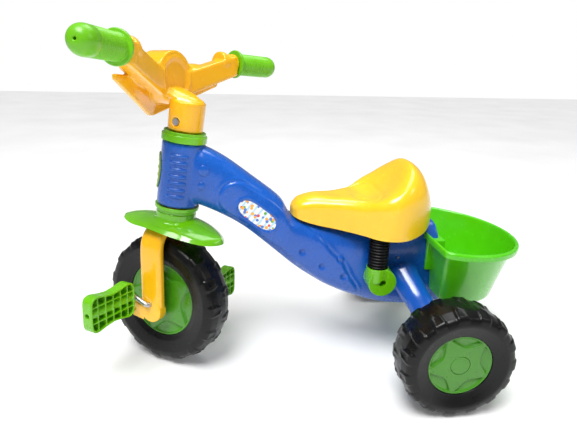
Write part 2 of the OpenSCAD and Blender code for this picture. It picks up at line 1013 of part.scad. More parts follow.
// ---------- seat, shocks and basket ----------

// Stations of the seat from the nose to the back, in rear-axle coordinates:
// x, crown height, shoulder height, skirt height, share of half the width, roundness
function seat_stations() = [
    [235, 188, 182, 176, 0.06, 2], [231, 194, 184, 174, 0.2, 2.2], [220, 203, 186, 170, 0.3, 2.4],
    [195, 209, 188, 163, 0.36, 2.6], [155, 211, 188, 157, 0.48, 2.8], [122, 214, 190, 154, 0.7, 2.8],
    [98, 224, 192, 152, 0.91, 2.6], [76, 243, 194, 152, 1, 2.4], [56, 262, 196, 152, 0.97, 2.3],
    [38, 267, 196, 154, 0.88, 2.2], [20, 257, 194, 158, 0.74, 2.1], [7, 238, 190, 162, 0.57, 2.1],
    [-3, 212, 186, 166, 0.37, 2], [-8, 190, 182, 170, 0.12, 2]
];

module seat_solid(inset) {
    stations = smooth(seat_stations(), 2);
    skip = inset > 0 ? 3 : 0;
    skin([
        for (k = [skip : len(stations) - 1 - skip])
            let (
                s = stations[k],
                x = s[0],
                hw = s[4] * seat_w / 2 - inset,
                shoulder = s[2] - inset,
                rise = s[1] - s[2]
            )
            concat(
                [for (a = [-90 : 15 : 90])
                    [x, hw * bulge(sin(a), s[5]), shoulder + rise * bulge(cos(a), s[5])]],
                [[x, hw, s[3] - (inset > 0 ? 20 : 0)], [x, -hw, s[3] - (inset > 0 ? 20 : 0)]]
            )
    ]);
}

// Screw posts of the seat: place along the body and height of the foot
seat_posts = [[40, body_top + 2.5], [170, body_top + 8.4]];

module seat() {
    color("#f5c430")
        on_rear()
            difference() {
                seat_solid(0);
                difference() {
                    seat_solid(shell_t);
                    // two screw posts that stand on the frame
                    for (p = seat_posts)
                        translate([p[0], 0, p[1]])
                            cylinder(h = 110, r = 9);
                }
                for (p = seat_posts)
                    translate([p[0], 0, p[1] - 1])
                        cylinder(h = 21, r = 2);
            }
}

seat_screw_grip = 5.5;

module seat_screws() {
    color("#b8bcc0")
        on_rear()
            for (p = seat_posts)
                translate([p[0], 0, p[1] - seat_screw_grip])
                    cylinder(h = 22, r = 2);
}

// Ribbed black sleeve of the dummy shock absorber, up under the seat
module shock_bellows(side) {
    z0 = bracket_z + 16;
    z1 = 174.6;
    turns = 9;
    pitch = (z1 - z0) / turns;
    color("#18181a")
        on_rear()
            hand(side)
                translate([shock_x, shock_y, z0])
                    rotate_extrude()
                        union() {
                            square([shock_r - 3, z1 - z0]);
                            for (i = [0 : turns - 1])
                                translate([shock_r - 4, (i + 0.5) * pitch])
                                    circle(3.9);
                        }
}

// Green socket for the bellows on a round boss that stands out from the body
module shock_bracket(side) {
    color("#5cc42e")
        on_rear()
            hand(side)
                difference() {
                    union() {
                        rod_y(shock_x - 6, bracket_z, side_face, shock_y + 16, bracket_r);
                        translate([shock_x, shock_y, bracket_z])
                            cylinder(h = 25, r = shock_r + 1.7);
                        translate([shock_x - 12, side_face, bracket_z])
                            cube([24, shock_y - side_face, 22]);
                    }
                    rod_y(shock_x - 6, bracket_z, shock_y, shock_y + 17, 5);
                    translate([shock_x, shock_y, bracket_z + 16])
                        cylinder(h = 10, r = shock_r + 0.3);
                }
}

// D-shaped outline: an arc of radius r round the back and sides, closed by a straight front
// at x_front with corners of radius rc that run smoothly into the arc
function d_ring(z, xc, r, x_front, rc) =
    let (
        cx = x_front - rc,
        cy = sqrt((r - rc) * (r - rc) - (cx - xc) * (cx - xc)),
        a0 = atan2(cy, cx - xc)
    )
    concat(
        [for (i = [0 : 7]) [cx + rc * cos(a0 * i / 8), cy + rc * sin(a0 * i / 8), z]],
        [for (i = [0 : 47]) let (a = a0 + (360 - 2 * a0) * i / 47) [xc + r * cos(a), r * sin(a), z]],
        [for (i = [1 : 8]) [cx + rc * cos(a0 * (i / 8 - 1)), -cy + rc * sin(a0 * (i / 8 - 1)), z]]
    );

// Basket coordinates: origin at the middle of the rim, which slopes down to the rear
module at_basket() {
    translate([basket_x, 0, rim_z])
        rotate([0, -rim_slope, 0])
            children();
}

// Tapered bowl with a rounded lower edge, set in from the outside by t on every wall
module basket_bowl(t, z_top) {
    r1 = basket_w / 2 - rim_lip;
    r0 = r1 * floor_share;
    front0 = basket_front - rim_lip - floor_setback;
    skin([
        d_ring(-basket_depth + t, floor_arc_x, r0 - t - 12, front0 - t - 12, 16),
        d_ring(-basket_depth + 4 + t, floor_arc_x, r0 - t - 4, front0 - t - 4, 24),
        d_ring(-basket_depth + 14, floor_arc_x, r0 - t, front0 - t, 28),
        d_ring(z_top, rim_arc_x, r1 - t, basket_front - rim_lip - t, 32)
    ]);
}

// Slot in the front of the basket that takes the tail of the body
module tail_slot(wall) {
    tilt = atan((body_back[0] - body_back[2]) / (body_back[1] - body_back[3]));
    translate([body_back[0] - part_gap - wall, -body_hw - part_gap - wall, body_back[1]])
        rotate([0, tilt, 0])
            translate([0, 0, -220])
                cube([90, 2 * (body_hw + part_gap + wall), 300]);
}

module basket() {
    slot_hw = body_hw + part_gap + shell_t;
    color("#5cc42e")
        on_rear()
            difference() {
                union() {
                    at_basket() {
                        basket_bowl(0, -1);
                        skin([
                            d_ring(-rim_h, rim_arc_x, basket_w / 2 - 2, basket_front - 2, 34),
                            d_ring(-rim_h + 2, rim_arc_x, basket_w / 2, basket_front, 36),
                            d_ring(-3, rim_arc_x, basket_w / 2, basket_front, 36),
                            d_ring(0, rim_arc_x, basket_w / 2 - 3, basket_front - 3, 33)
                        ]);
                    }
                    translate([-30, -slot_hw, 81])
                        cube([32, 2 * slot_hw, 56]);
                }
                difference() {
                    at_basket()
                        basket_bowl(shell_t, 1);
                    tail_slot(shell_t);
                }
                tail_slot(0);
                basket_screw_rods(2, 30);
            }
}

// Screws through the back wall of the slot into the tail
module basket_screw_rods(r, l) {
    for (s = [-1, 1])
        translate([-l / 2 - 26, s * 22, 112])
            rotate([0, 90, 0])
                cylinder(h = l, r = r);
}

module basket_screws() {
    color("#b8bcc0")
        on_rear()
            basket_screw_rods(2, 16);
}

frame();
rear_leg(1);  // left_rear_leg
rear_leg(-1);  // right_rear_leg
body_screws();
rear_axle();
rear_spacers();
rear_push_nuts();
rear_tyre(1);  // left_rear_tyre
rear_hubcap(1);  // left_rear_hubcap
rear_centre_cap(1);  // left_rear_centre_cap
rear_tyre(-1);  // right_rear_tyre
rear_hubcap(-1);  // right_rear_hubcap
rear_centre_cap(-1);  // right_rear_centre_cap
upper_head_collar();
lower_head_collar();
head_badge();
side_label(1);  // left_label
side_label(-1);  // right_label
seat();
seat_screws();
basket();
basket_screws();
shock_bellows(1);  // left_shock_bellows
shock_bellows(-1);  // right_shock_bellows
shock_bracket(1);  // left_shock_bracket
shock_bracket(-1);  // right_shock_bracket
fork();
mudguard();
axle_clamp(1);  // left_axle_clamp
axle_clamp(-1);  // right_axle_clamp
clamp_screws();
handlebar();
grip(1);  // left_grip
grip(-1);  // right_grip
stem_bolt();
stem_nut();
front_tyre();
front_hubcaps();
crank_axle();
pedal_washers();
pedal_push_nuts();
pedal(1);  // left_pedal
pedal(-1);  // right_pedal
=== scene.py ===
"""Looks of a moulded plastic children's tricycle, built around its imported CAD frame.

Sizes are in millimetres in each part's own frame; the placing matrices turn them into metres.
"""

import json
import logging
import math
from dataclasses import dataclass
from enum import Enum
from typing import Callable, Dict, List, Optional, Sequence, Tuple

import bmesh
import bpy
from mathutils import Matrix, Vector
from mathutils.bvhtree import BVHTree

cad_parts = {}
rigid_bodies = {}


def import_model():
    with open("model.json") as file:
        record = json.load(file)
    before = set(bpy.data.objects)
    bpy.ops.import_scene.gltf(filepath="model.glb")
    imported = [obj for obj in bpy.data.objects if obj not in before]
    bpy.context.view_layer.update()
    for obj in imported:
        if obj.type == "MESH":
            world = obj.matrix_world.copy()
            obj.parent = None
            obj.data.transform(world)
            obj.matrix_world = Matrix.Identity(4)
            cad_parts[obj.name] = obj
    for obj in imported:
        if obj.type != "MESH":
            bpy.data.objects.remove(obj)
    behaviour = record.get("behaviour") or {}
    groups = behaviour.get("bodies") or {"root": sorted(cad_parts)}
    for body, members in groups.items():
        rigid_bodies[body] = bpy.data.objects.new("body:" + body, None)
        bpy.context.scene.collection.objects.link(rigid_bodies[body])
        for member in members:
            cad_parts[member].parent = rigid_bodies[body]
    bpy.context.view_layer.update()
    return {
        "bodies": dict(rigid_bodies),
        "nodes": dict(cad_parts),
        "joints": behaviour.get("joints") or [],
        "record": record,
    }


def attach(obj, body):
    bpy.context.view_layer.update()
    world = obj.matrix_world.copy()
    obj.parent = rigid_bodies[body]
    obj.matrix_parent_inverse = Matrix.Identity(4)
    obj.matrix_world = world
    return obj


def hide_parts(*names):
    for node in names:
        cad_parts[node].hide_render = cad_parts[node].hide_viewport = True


LOG = logging.getLogger("tricycle")
MM = 0.001
HEAD_ANGLE = math.radians(8.5)
COLUMN_BORE = 16.4
AXLE_BORE = 4.05
SHARP_EDGE = math.radians(50)
Point = Tuple[float, float, float]
Pair = Tuple[float, float]


class Side(Enum):
    """Rider's left or right, with the sign of its Y."""

    LEFT = 1
    RIGHT = -1

    @property
    def word(self) -> str:
        """The side's name in piece names."""
        return self.name.lower()


# ---------------------------------------------------------------- numbers and curves


def ease(low: float, high: float, value: float) -> float:
    """Smooth step from 0 at low to 1 at high; low may be above high."""
    t = min(max((value - low) / (high - low), 0.0), 1.0)
    return t * t * (3 - 2 * t)


def bulge(c: float, power: float) -> float:
    """Superellipse coordinate of a cosine or sine."""
    return math.copysign(abs(c) ** (2 / power), c)


def track(stations: Sequence[Sequence[float]], u: float) -> List[float]:
    """Value of a smooth curve through evenly spaced stations.

    Args:
        stations: rows of numbers, all of one length.
        u: place along the rows, 0 at the first and 1 at the last.

    Returns:
        The row at u.
    """
    last = len(stations) - 1
    i = min(int(u * last), last - 1)
    t = u * last - i
    a, b, c, d = (stations[min(max(i + k, 0), last)] for k in (-1, 0, 1, 2))
    return [
        0.5 * (2 * q + (r - p) * t + (2 * p - 5 * q + 4 * r - s) * t * t + (3 * q - p - 3 * r + s) * t ** 3)
        for p, q, r, s in zip(a, b, c, d)
    ]


def rounded(corners: Sequence[Tuple[float, float, float]], steps: int = 6) -> List[Pair]:
    """Outline with each corner turned into an arc.

    Args:
        corners: x, y and the corner's radius; the first and last are kept sharp.
        steps: pieces in each arc.

    Returns:
        The points of the outline.
    """
    out: List[Pair] = [corners[0][:2]]
    for before, here, after in zip(corners, corners[1:], corners[2:]):
        p = Vector(here[:2])
        a, b = Vector(before[:2]) - p, Vector(after[:2]) - p
        if here[2] <= 0:
            out.append(tuple(p))
            continue
        half = a.angle(b) / 2
        reach = min(here[2] / math.tan(half), a.length * 0.48, b.length * 0.48)
        start, end = p + a.normalized() * reach, p + b.normalized() * reach
        for k in range(steps + 1):
            t = k / steps
            q = start * (1 - t) ** 2 + p * 2 * t * (1 - t) + end * t * t
            out.append((q.x, q.y))
    out.append(corners[-1][:2])
    return out


# ---------------------------------------------------------------- mesh building


class Shape:
    """A bmesh in a part's own frame, in millimetres until it is placed."""

    def __init__(self) -> None:
        """Starts with an empty mesh."""
        self.bm = bmesh.new()

    def sheet(self, place: Callable[[float, float], Point], nu: int, nv: int) -> "Shape":
        """Adds a grid whose points are put where a function says; meeting edges are merged.

        Args:
            place: gives a point for u and v, each from 0 to 1.
            nu: cells along u.
            nv: cells along v.

        Returns:
            This shape.
        """
        made = bmesh.ops.create_grid(self.bm, x_segments=nu, y_segments=nv, size=0.5)["verts"]
        for v in made:
            v.co = place(min(max(v.co.x + 0.5, 0.0), 1.0), min(max(v.co.y + 0.5, 0.0), 1.0))
        bmesh.ops.remove_doubles(self.bm, verts=made, dist=0.01)
        return self

    def spin(self, profile: Sequence[Pair], steps: int, closed: bool = False) -> "Shape":
        """Adds a turned body: the profile's first number is its radius and the second its height along Z."""
        verts = [self.bm.verts.new((r, 0, z)) for r, z in profile]
        pairs = list(zip(verts, verts[1:])) + ([(verts[-1], verts[0])] if closed else [])
        edges = [self.bm.edges.new(p) for p in pairs]
        bmesh.ops.spin(
            self.bm, geom=verts + edges, cent=(0, 0, 0), axis=(0, 0, 1), angle=math.tau,
            steps=steps, use_merge=True, use_duplicate=False,
        )
        bmesh.ops.remove_doubles(self.bm, verts=self.bm.verts, dist=0.005)
        return self

    def rod(self, start: Point, end: Point, radius: float, radius_end: Optional[float] = None,
            segments: int = 48, turn: float = 0.0) -> "Shape":
        """Adds a round rod or cone from start to end."""
        a, b = Vector(start), Vector(end)
        matrix = Matrix.Translation((a + b) / 2) @ (b - a).to_track_quat("Z", "Y").to_matrix().to_4x4()
        bmesh.ops.create_cone(
            self.bm, cap_ends=True, segments=segments, radius1=radius,
            radius2=radius if radius_end is None else radius_end, depth=(b - a).length,
            matrix=matrix @ Matrix.Rotation(turn, 4, "Z"),
        )
        return self

    def block(self, low: Point, high: Point) -> "Shape":
        """Adds a box between two corners."""
        a, b = Vector(low), Vector(high)
        size = Matrix.Diagonal((*(b - a), 1))
        bmesh.ops.create_cube(self.bm, size=1, matrix=Matrix.Translation((a + b) / 2) @ size)
        return self

    def ball(self, centre: Point, radii: Point) -> "Shape":
        """Adds a ball stretched to three radii."""
        matrix = Matrix.Translation(centre) @ Matrix.Diagonal((*radii, 1))
        bmesh.ops.create_uvsphere(self.bm, u_segments=32, v_segments=20, radius=1, matrix=matrix)
        return self

    def node(self, cad: bpy.types.Object, back: Matrix) -> "Shape":
        """Adds a merged copy of a CAD node, brought into this part's frame by the matrix back."""
        kept = len(self.bm.verts)
        self.bm.from_mesh(cad.data)
        self.bm.verts.ensure_lookup_table()
        new = list(self.bm.verts)[kept:]
        bmesh.ops.transform(self.bm, matrix=back, verts=new)
        bmesh.ops.remove_doubles(self.bm, verts=new, dist=0.02)
        return self

    def join(self, other: "Shape") -> "Shape":
        """Adds another shape's mesh and frees that shape."""
        mesh = bpy.data.meshes.new("joined")
        other.bm.to_mesh(mesh)
        other.bm.free()
        self.bm.from_mesh(mesh)
        bpy.data.meshes.remove(mesh)
        return self

    def move(self, matrix: Matrix) -> "Shape":
        """Moves everything by a matrix."""
        bmesh.ops.transform(self.bm, matrix=matrix, verts=self.bm.verts)
        return self

    def push(self, change: Callable[[Vector, Vector], Vector]) -> "Shape":
        """Moves each vertex by what a function of its place and normal gives."""
        self.bm.normal_update()
        moves = [(v, change(v.co, v.normal)) for v in self.bm.verts]
        for v, d in moves:
            v.co += d
        return self

    def relax(self, times: int) -> "Shape":
        """Smooths the surface a number of times."""
        for _ in range(times):
            bmesh.ops.smooth_vert(
                self.bm, verts=self.bm.verts, factor=0.5, use_axis_x=True, use_axis_y=True, use_axis_z=True,
            )
        return self

    def outward(self) -> "Shape":
        """Turns every face outward."""
        bmesh.ops.recalc_face_normals(self.bm, faces=self.bm.faces)
        return self

    def top_up(self) -> "Shape":
        """Turns an open sheet over if its highest face looks down."""
        if max(self.bm.faces, key=lambda f: f.calc_center_median().z).normal.z < 0:
            bmesh.ops.reverse_faces(self.bm, faces=self.bm.faces)
        return self

    def modified(self, add: Callable[[bpy.types.Object], None]) -> "Shape":
        """Applies modifiers to the mesh.

        Args:
            add: puts the modifiers on the temporary object it is given.

        Returns:
            This shape with the result.
        """
        mesh = bpy.data.meshes.new("work")
        self.bm.to_mesh(mesh)
        obj = bpy.data.objects.new("work", mesh)
        bpy.context.scene.collection.objects.link(obj)
        add(obj)
        done = obj.evaluated_get(bpy.context.evaluated_depsgraph_get())
        result = bpy.data.meshes.new_from_object(done)
        self.bm.clear()
        self.bm.from_mesh(result)
        bpy.data.objects.remove(obj)
        for spare in (mesh, result):
            bpy.data.meshes.remove(spare)
        return self

    def fuse(self, cell: float, times: int) -> "Shape":
        """Melts overlapping closed shapes into one skin, as a mould does, and softens its edges."""

        def add(obj: bpy.types.Object) -> None:
            """Adds the remesher."""
            m = obj.modifiers.new("skin", "REMESH")
            m.mode, m.voxel_size = "VOXEL", cell

        return self.modified(add).relax(times)

    def cut(self, tool: "Shape") -> "Shape":
        """Cuts another closed shape out of this one."""
        mesh = bpy.data.meshes.new("tool")
        tool.outward().bm.to_mesh(mesh)
        other = bpy.data.objects.new("tool", mesh)
        bpy.context.scene.collection.objects.link(other)

        def add(obj: bpy.types.Object) -> None:
            """Adds the cutter."""
            m = obj.modifiers.new("cut", "BOOLEAN")
            m.operation, m.object, m.solver = "DIFFERENCE", other, "EXACT"

        self.modified(add)
        bpy.data.objects.remove(other)
        bpy.data.meshes.remove(mesh)
        return self


# ---------------------------------------------------------------- finishes


class Socket:
    """A node socket on which arithmetic adds Math nodes."""

    def __init__(self, graph: "Graph", link: bpy.types.NodeSocket) -> None:
        """Wraps one output socket of a graph."""
        self.graph, self.link = graph, link

    def _do(self, operation: str, first: object, second: object) -> "Socket":
        """One Math node."""
        return self.graph.add("ShaderNodeMath", {"operation": operation}, {0: first, 1: second})

    def __add__(self, other: object) -> "Socket":
        """Sum."""
        return self._do("ADD", self, other)

    def __sub__(self, other: object) -> "Socket":
        """Difference."""
        return self._do("SUBTRACT", self, other)

    def __rsub__(self, other: object) -> "Socket":
        """Reflected difference."""
        return self._do("SUBTRACT", other, self)

    def __mul__(self, other: object) -> "Socket":
        """Product."""
        return self._do("MULTIPLY", self, other)

    __radd__ = __add__
    __rmul__ = __mul__

    def over(self, other: float) -> "Socket":
        """1 where the value is above a number."""
        return self._do("GREATER_THAN", self, other)


class Graph:
    """The node tree of one material."""

    def __init__(self, name: str) -> None:
        """Starts a material that holds only the Object coordinates."""
        self.material = bpy.data.materials.new(name)
        self.material.use_nodes = True
        self.tree = self.material.node_tree
        self.tree.nodes.clear()
        self.place = self.add("ShaderNodeTexCoord", {}, {}, "Object")

    def add(self, kind: str, settings: Dict[str, object], inputs: Dict[object, object],
            output: object = 0) -> Socket:
        """Adds a node.

        Args:
            kind: the node's type.
            settings: its properties, set first.
            inputs: values or sockets for its inputs, by name or number.
            output: the output that is used, by name or number.

        Returns:
            That output.
        """
        node = self.tree.nodes.new(kind)
        for key, value in settings.items():
            setattr(node, key, value)
        for key, value in inputs.items():
            if isinstance(value, Socket):
                self.tree.links.new(value.link, node.inputs[key])
            elif value is not None:
                node.inputs[key].default_value = value
        return Socket(self, node.outputs[output])

    def noise(self, scale: float, detail: float = 2.0, rough: float = 0.5) -> Socket:
        """Noise over the object, with its scale per metre."""
        inputs = {"Vector": self.place, "Scale": scale, "Detail": detail, "Roughness": rough}
        return self.add("ShaderNodeTexNoise", {}, inputs, "Fac")

    def ramp(self, value: Socket, low: float, high: float, start: float, end: float) -> Socket:
        """Maps a value's range to another, held at its ends."""
        return self.add(
            "ShaderNodeMapRange", {"clamp": True},
            {"Value": value, "From Min": low, "From Max": high, "To Min": start, "To Max": end},
        )

    def blend(self, share: Socket, first: Sequence[float], second: Sequence[float]) -> Socket:
        """Mixes two colours, either of which may be a socket."""
        a = first if isinstance(first, Socket) else (*first, 1.0)
        b = second if isinstance(second, Socket) else (*second, 1.0)
        return self.add("ShaderNodeMix", {"data_type": "RGBA"}, {0: share, 6: a, 7: b}, 2)

    def close(self, surface: Dict[str, object]) -> bpy.types.Material:
        """Adds the surface shader and joins it to the output.

        Args:
            surface: inputs of the shader, by name.

        Returns:
            The material.
        """
        shader = self.add("ShaderNodeBsdfPrincipled", {}, surface, "BSDF")
        out = self.tree.nodes.new("ShaderNodeOutputMaterial")
        self.tree.links.new(shader.link, out.inputs["Surface"])
        return self.material


@dataclass(frozen=True)
class Plastic:
    """Injection or blow moulded plastic with its orange peel, flow marks and fine scuffs."""

    name: str
    slot: str
    colour: Tuple[float, float, float]
    shade: Tuple[float, float, float]
    roughness: float = 0.22
    coat: float = 0.35
    peel: float = 0.03
    peel_scale: float = 420.0
    ior: float = 1.49

    def make(self) -> bpy.types.Material:
        """Builds the material."""
        g = Graph(self.name)
        flow = g.noise(7.0, 3.0)
        mottle = g.noise(60.0, 4.0, 0.6)
        tone = g.ramp(flow * 0.7 + mottle * 0.3, 0.35, 0.68, 0.0, 1.0)
        stretched = g.add(
            "ShaderNodeMapping", {},
            {"Vector": g.place, "Scale": (90.0, 900.0, 140.0), "Rotation": (0.5, 0.3, 0.9)},
        )
        scuff = g.add("ShaderNodeTexNoise", {}, {"Vector": stretched, "Scale": 1.0, "Detail": 3.0}, "Fac")
        marks = g.ramp(scuff, 0.66, 0.78, 0.0, 1.0)
        rough = g.ramp(mottle, 0.3, 0.7, self.roughness * 0.82, self.roughness * 1.2) + marks * 0.07
        peel = g.noise(self.peel_scale, 2.0)
        bump = g.add(
            "ShaderNodeBump", {}, {"Strength": self.peel, "Distance": 0.0006, "Height": peel + marks * 0.12},
        )
        return g.close({
            "Base Color": g.blend(tone, self.shade, self.colour), "Roughness": rough, "Normal": bump,
            "Coat Weight": self.coat, "Coat Roughness": 0.06, "IOR": self.ior,
        })


@dataclass(frozen=True)
class Steel:
    """Zinc-plated or drawn steel."""

    name: str
    slot: str
    colour: Tuple[float, float, float] = (0.62, 0.63, 0.66)
    roughness: float = 0.26

    def make(self) -> bpy.types.Material:
        """Builds the material."""
        g = Graph(self.name)
        cloud = g.noise(220.0, 4.0, 0.6)
        fine = g.noise(1800.0, 2.0)
        bump = g.add("ShaderNodeBump", {}, {"Strength": 0.12, "Distance": 0.0003, "Height": fine})
        dull = tuple(c * 0.78 for c in self.colour)
        return g.close({
            "Base Color": g.blend(g.ramp(cloud, 0.35, 0.65, 0.0, 1.0), dull, self.colour), "Metallic": 1.0,
            "Roughness": g.ramp(cloud, 0.3, 0.7, self.roughness, self.roughness + 0.14), "Normal": bump,
        })


@dataclass(frozen=True)
class Printed:
    """Printed film with a generic pattern of spots and stripes."""

    name: str
    slot: str
    ground: Tuple[float, float, float] = (0.9, 0.93, 0.95)
    inks: Tuple[Tuple[float, float, float], ...] = (
        (0.12, 0.42, 0.03), (0.75, 0.06, 0.05), (0.08, 0.2, 0.62), (0.95, 0.42, 0.02),
    )

    def make(self) -> bpy.types.Material:
        """Builds the material."""
        g = Graph(self.name)
        turned = g.add(
            "ShaderNodeMapping", {}, {"Vector": g.place, "Rotation": (0.0, math.radians(37), 0.0)},
        )
        bands = g.add(
            "ShaderNodeTexWave", {"wave_type": "BANDS", "bands_direction": "X"},
            {"Vector": turned, "Scale": 32.0, "Distortion": 0.0}, "Fac",
        )
        colour = g.blend(bands.over(0.72), self.ground, (0.5, 0.72, 0.88))
        for k, ink in enumerate(self.inks):
            cells = g.add(
                "ShaderNodeTexVoronoi", {"feature": "F1"},
                {"Vector": turned, "Scale": 84.0 + 7.0 * k, "Randomness": 0.85}, "Distance",
            )
            colour = g.blend(1 - cells.over(0.24 + 0.02 * k), colour, ink)
        bump = g.add(
            "ShaderNodeBump", {}, {"Strength": 0.05, "Distance": 0.0004, "Height": g.noise(300.0)},
        )
        return g.close({
            "Base Color": colour, "Roughness": g.ramp(g.noise(90.0), 0.3, 0.7, 0.2, 0.32), "Normal": bump,
            "Coat Weight": 0.4, "Coat Roughness": 0.08,
        })


LIME = (0.17, 0.56, 0.004)
LIME_SHADE = (0.13, 0.47, 0.003)
GREEN = (0.055, 0.27, 0.006)
GREEN_SHADE = (0.04, 0.21, 0.004)
YELLOW = (1.0, 0.53, 0.008)
YELLOW_SHADE = (0.96, 0.46, 0.006)
SUN = (1.0, 0.63, 0.02)
SUN_SHADE = (0.97, 0.55, 0.014)
BLUE = (0.004, 0.11, 0.54)
BLUE_SHADE = (0.003, 0.085, 0.45)
BLACK = (0.004, 0.004, 0.0045)
BLACK_SHADE = (0.002, 0.002, 0.0025)

FINISHES = (
    Plastic("frame_blue", "frame_blue", BLUE, BLUE_SHADE, 0.27, 0.35),
    Plastic("leg_blue", "leg_blue", BLUE, BLUE_SHADE, 0.22, 0.45),
    Plastic("tyre_black", "tyre_black", BLACK, BLACK_SHADE, 0.3, 0.0, 0.04, 700.0, 1.36),
    Plastic("hub_green", "hub_green", GREEN, GREEN_SHADE, 0.3, 0.25),
    Plastic("collar_green", "collar_green", LIME, LIME_SHADE, 0.24, 0.35),
    Plastic("badge_green", "badge_green", (0.3, 0.45, 0.04), (0.22, 0.36, 0.03), 0.3, 0.3),
    Plastic("seat_yellow", "seat_yellow", SUN, SUN_SHADE, 0.24, 0.4),
    Plastic("basket_green", "basket_green", (0.1, 0.62, 0.004), (0.075, 0.53, 0.003), 0.24, 0.35),
    Plastic("bellows_black", "bellows_black", BLACK, BLACK_SHADE, 0.42, 0.0, 0.06, 900.0, 1.36),
    Plastic("bracket_green", "bracket_green", LIME, LIME_SHADE, 0.26, 0.3),
    Plastic("fork_yellow", "fork_yellow", YELLOW, YELLOW_SHADE, 0.2, 0.5),
    Plastic("mudguard_green", "mudguard_green", LIME, LIME_SHADE, 0.16, 0.6),
    Plastic("handlebar_yellow", "handlebar_yellow", YELLOW, YELLOW_SHADE, 0.24, 0.4),
    Plastic("grip_green", "grip_green", LIME, LIME_SHADE, 0.34, 0.12, 0.04, 800.0),
    Plastic("pedal_green", "pedal_green", LIME, LIME_SHADE, 0.26, 0.3),
    Steel("fastener_steel", "fastener_steel"),
    Steel("axle_steel", "axle_steel", (0.55, 0.56, 0.58), 0.3),
    Printed("label_print", "label_yellow"),
)


class Workshop:
    """Holds the loaded frame, its places and the finishes, and turns shapes into pieces."""

    def __init__(self, frame: Dict[str, object]) -> None:
        """Reads the joints and makes the materials."""
        self.frame = frame
        self.made = {f.name: (f.make(), f.slot) for f in FINISHES}
        self.joints = {j["name"]: j for j in frame["joints"]}
        steer, spin = self.joints["steer"], self.joints["front_wheel_spin"]
        up, across = Vector(steer["axis"]).normalized(), Vector(spin["axis"]).normalized()
        ahead = across.cross(up)
        size = Matrix.Scale(MM, 4)
        self.column = self._axes(ahead, across, up, steer["pos_m"]) @ size
        flat = ahead * math.cos(HEAD_ANGLE) - up * math.sin(HEAD_ANGLE)
        rise = ahead * math.sin(HEAD_ANGLE) + up * math.cos(HEAD_ANGLE)
        self.front = self._axes(flat, across, rise, spin["pos_m"]) @ size
        rear = self.joints["left_rear_wheel_spin"]["pos_m"]
        self.rear = Matrix.Translation((rear[0], 0.0, rear[2])) @ size
        self.head = self._axes(
            Vector((math.cos(HEAD_ANGLE), 0, math.sin(HEAD_ANGLE))), Vector((0, 1, 0)), up, steer["pos_m"],
        ) @ size
        self.mounts = {m["name"]: m for m in frame["record"]["mounts"]}

    @staticmethod
    def _axes(x: Vector, y: Vector, z: Vector, origin: Sequence[float]) -> Matrix:
        """Matrix of a frame from its axes and origin."""
        m = Matrix((x, y, z)).transposed().to_4x4()
        m.translation = Vector(origin)
        return m

    def cad(self, name: str) -> bpy.types.Object:
        """The CAD node of that name."""
        return self.frame["nodes"][name]

    def piece(self, shape: Shape, name: str, finish: str, body: str, place: Matrix,
              nodes: Sequence[str]) -> bpy.types.Object:
        """Makes a piece of the object from a shape.

        Args:
            shape: the mesh, in the frame of place.
            name: the piece's name.
            finish: the finish it is made in.
            body: the CAD body that it rides on.
            place: matrix from the shape's frame to the object's.
            nodes: CAD nodes that it stands for.

        Returns:
            The piece.
        """
        shape.move(place)
        mesh = bpy.data.meshes.new(name)
        for f in shape.bm.faces:
            f.smooth = True
        shape.bm.to_mesh(mesh)
        shape.bm.free()
        mesh.set_sharp_from_angle(angle=SHARP_EDGE)
        material, slot = self.made[finish]
        mesh.materials.clear()
        mesh.materials.append(material)
        obj = bpy.data.objects.new(name, mesh)
        bpy.context.scene.collection.objects.link(obj)
        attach(obj, body)
        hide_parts(*nodes)
        LOG.info("%s: %d faces on %s", name, len(mesh.polygons), body)
        return obj

    def keep(self, finish: str, *nodes: str) -> None:
        """Gives kept CAD nodes a finish."""
        material, slot = self.made[finish]
        for name in nodes:
            obj = self.cad(name)
            obj.data.materials.clear()
            obj.data.materials.append(material)
            LOG.info("%s kept in %s", name, finish)


def solid_sheet(thickness: float, edge: float = 0.0) -> Callable[[bpy.types.Object], None]:
    """Modifiers that close a sheet to a thin shell and round its edges.

    Args:
        thickness: of the shell, to the inside, in thousandths of the mesh's own unit.
        edge: radius of the rounded edges in the same measure, or 0 for none.

    Returns:
        A function that adds the modifiers to an object.
    """

    def add(obj: bpy.types.Object) -> None:
        """Adds the modifiers."""
        m = obj.modifiers.new("wall", "SOLIDIFY")
        m.thickness, m.offset, m.use_even_offset = thickness * MM, -1.0, True
        if edge > 0:
            b = obj.modifiers.new("edge", "BEVEL")
            b.width, b.segments, b.limit_method, b.angle_limit = edge * MM, 3, "ANGLE", math.radians(40)

    return add


# ---------------------------------------------------------------- wheels


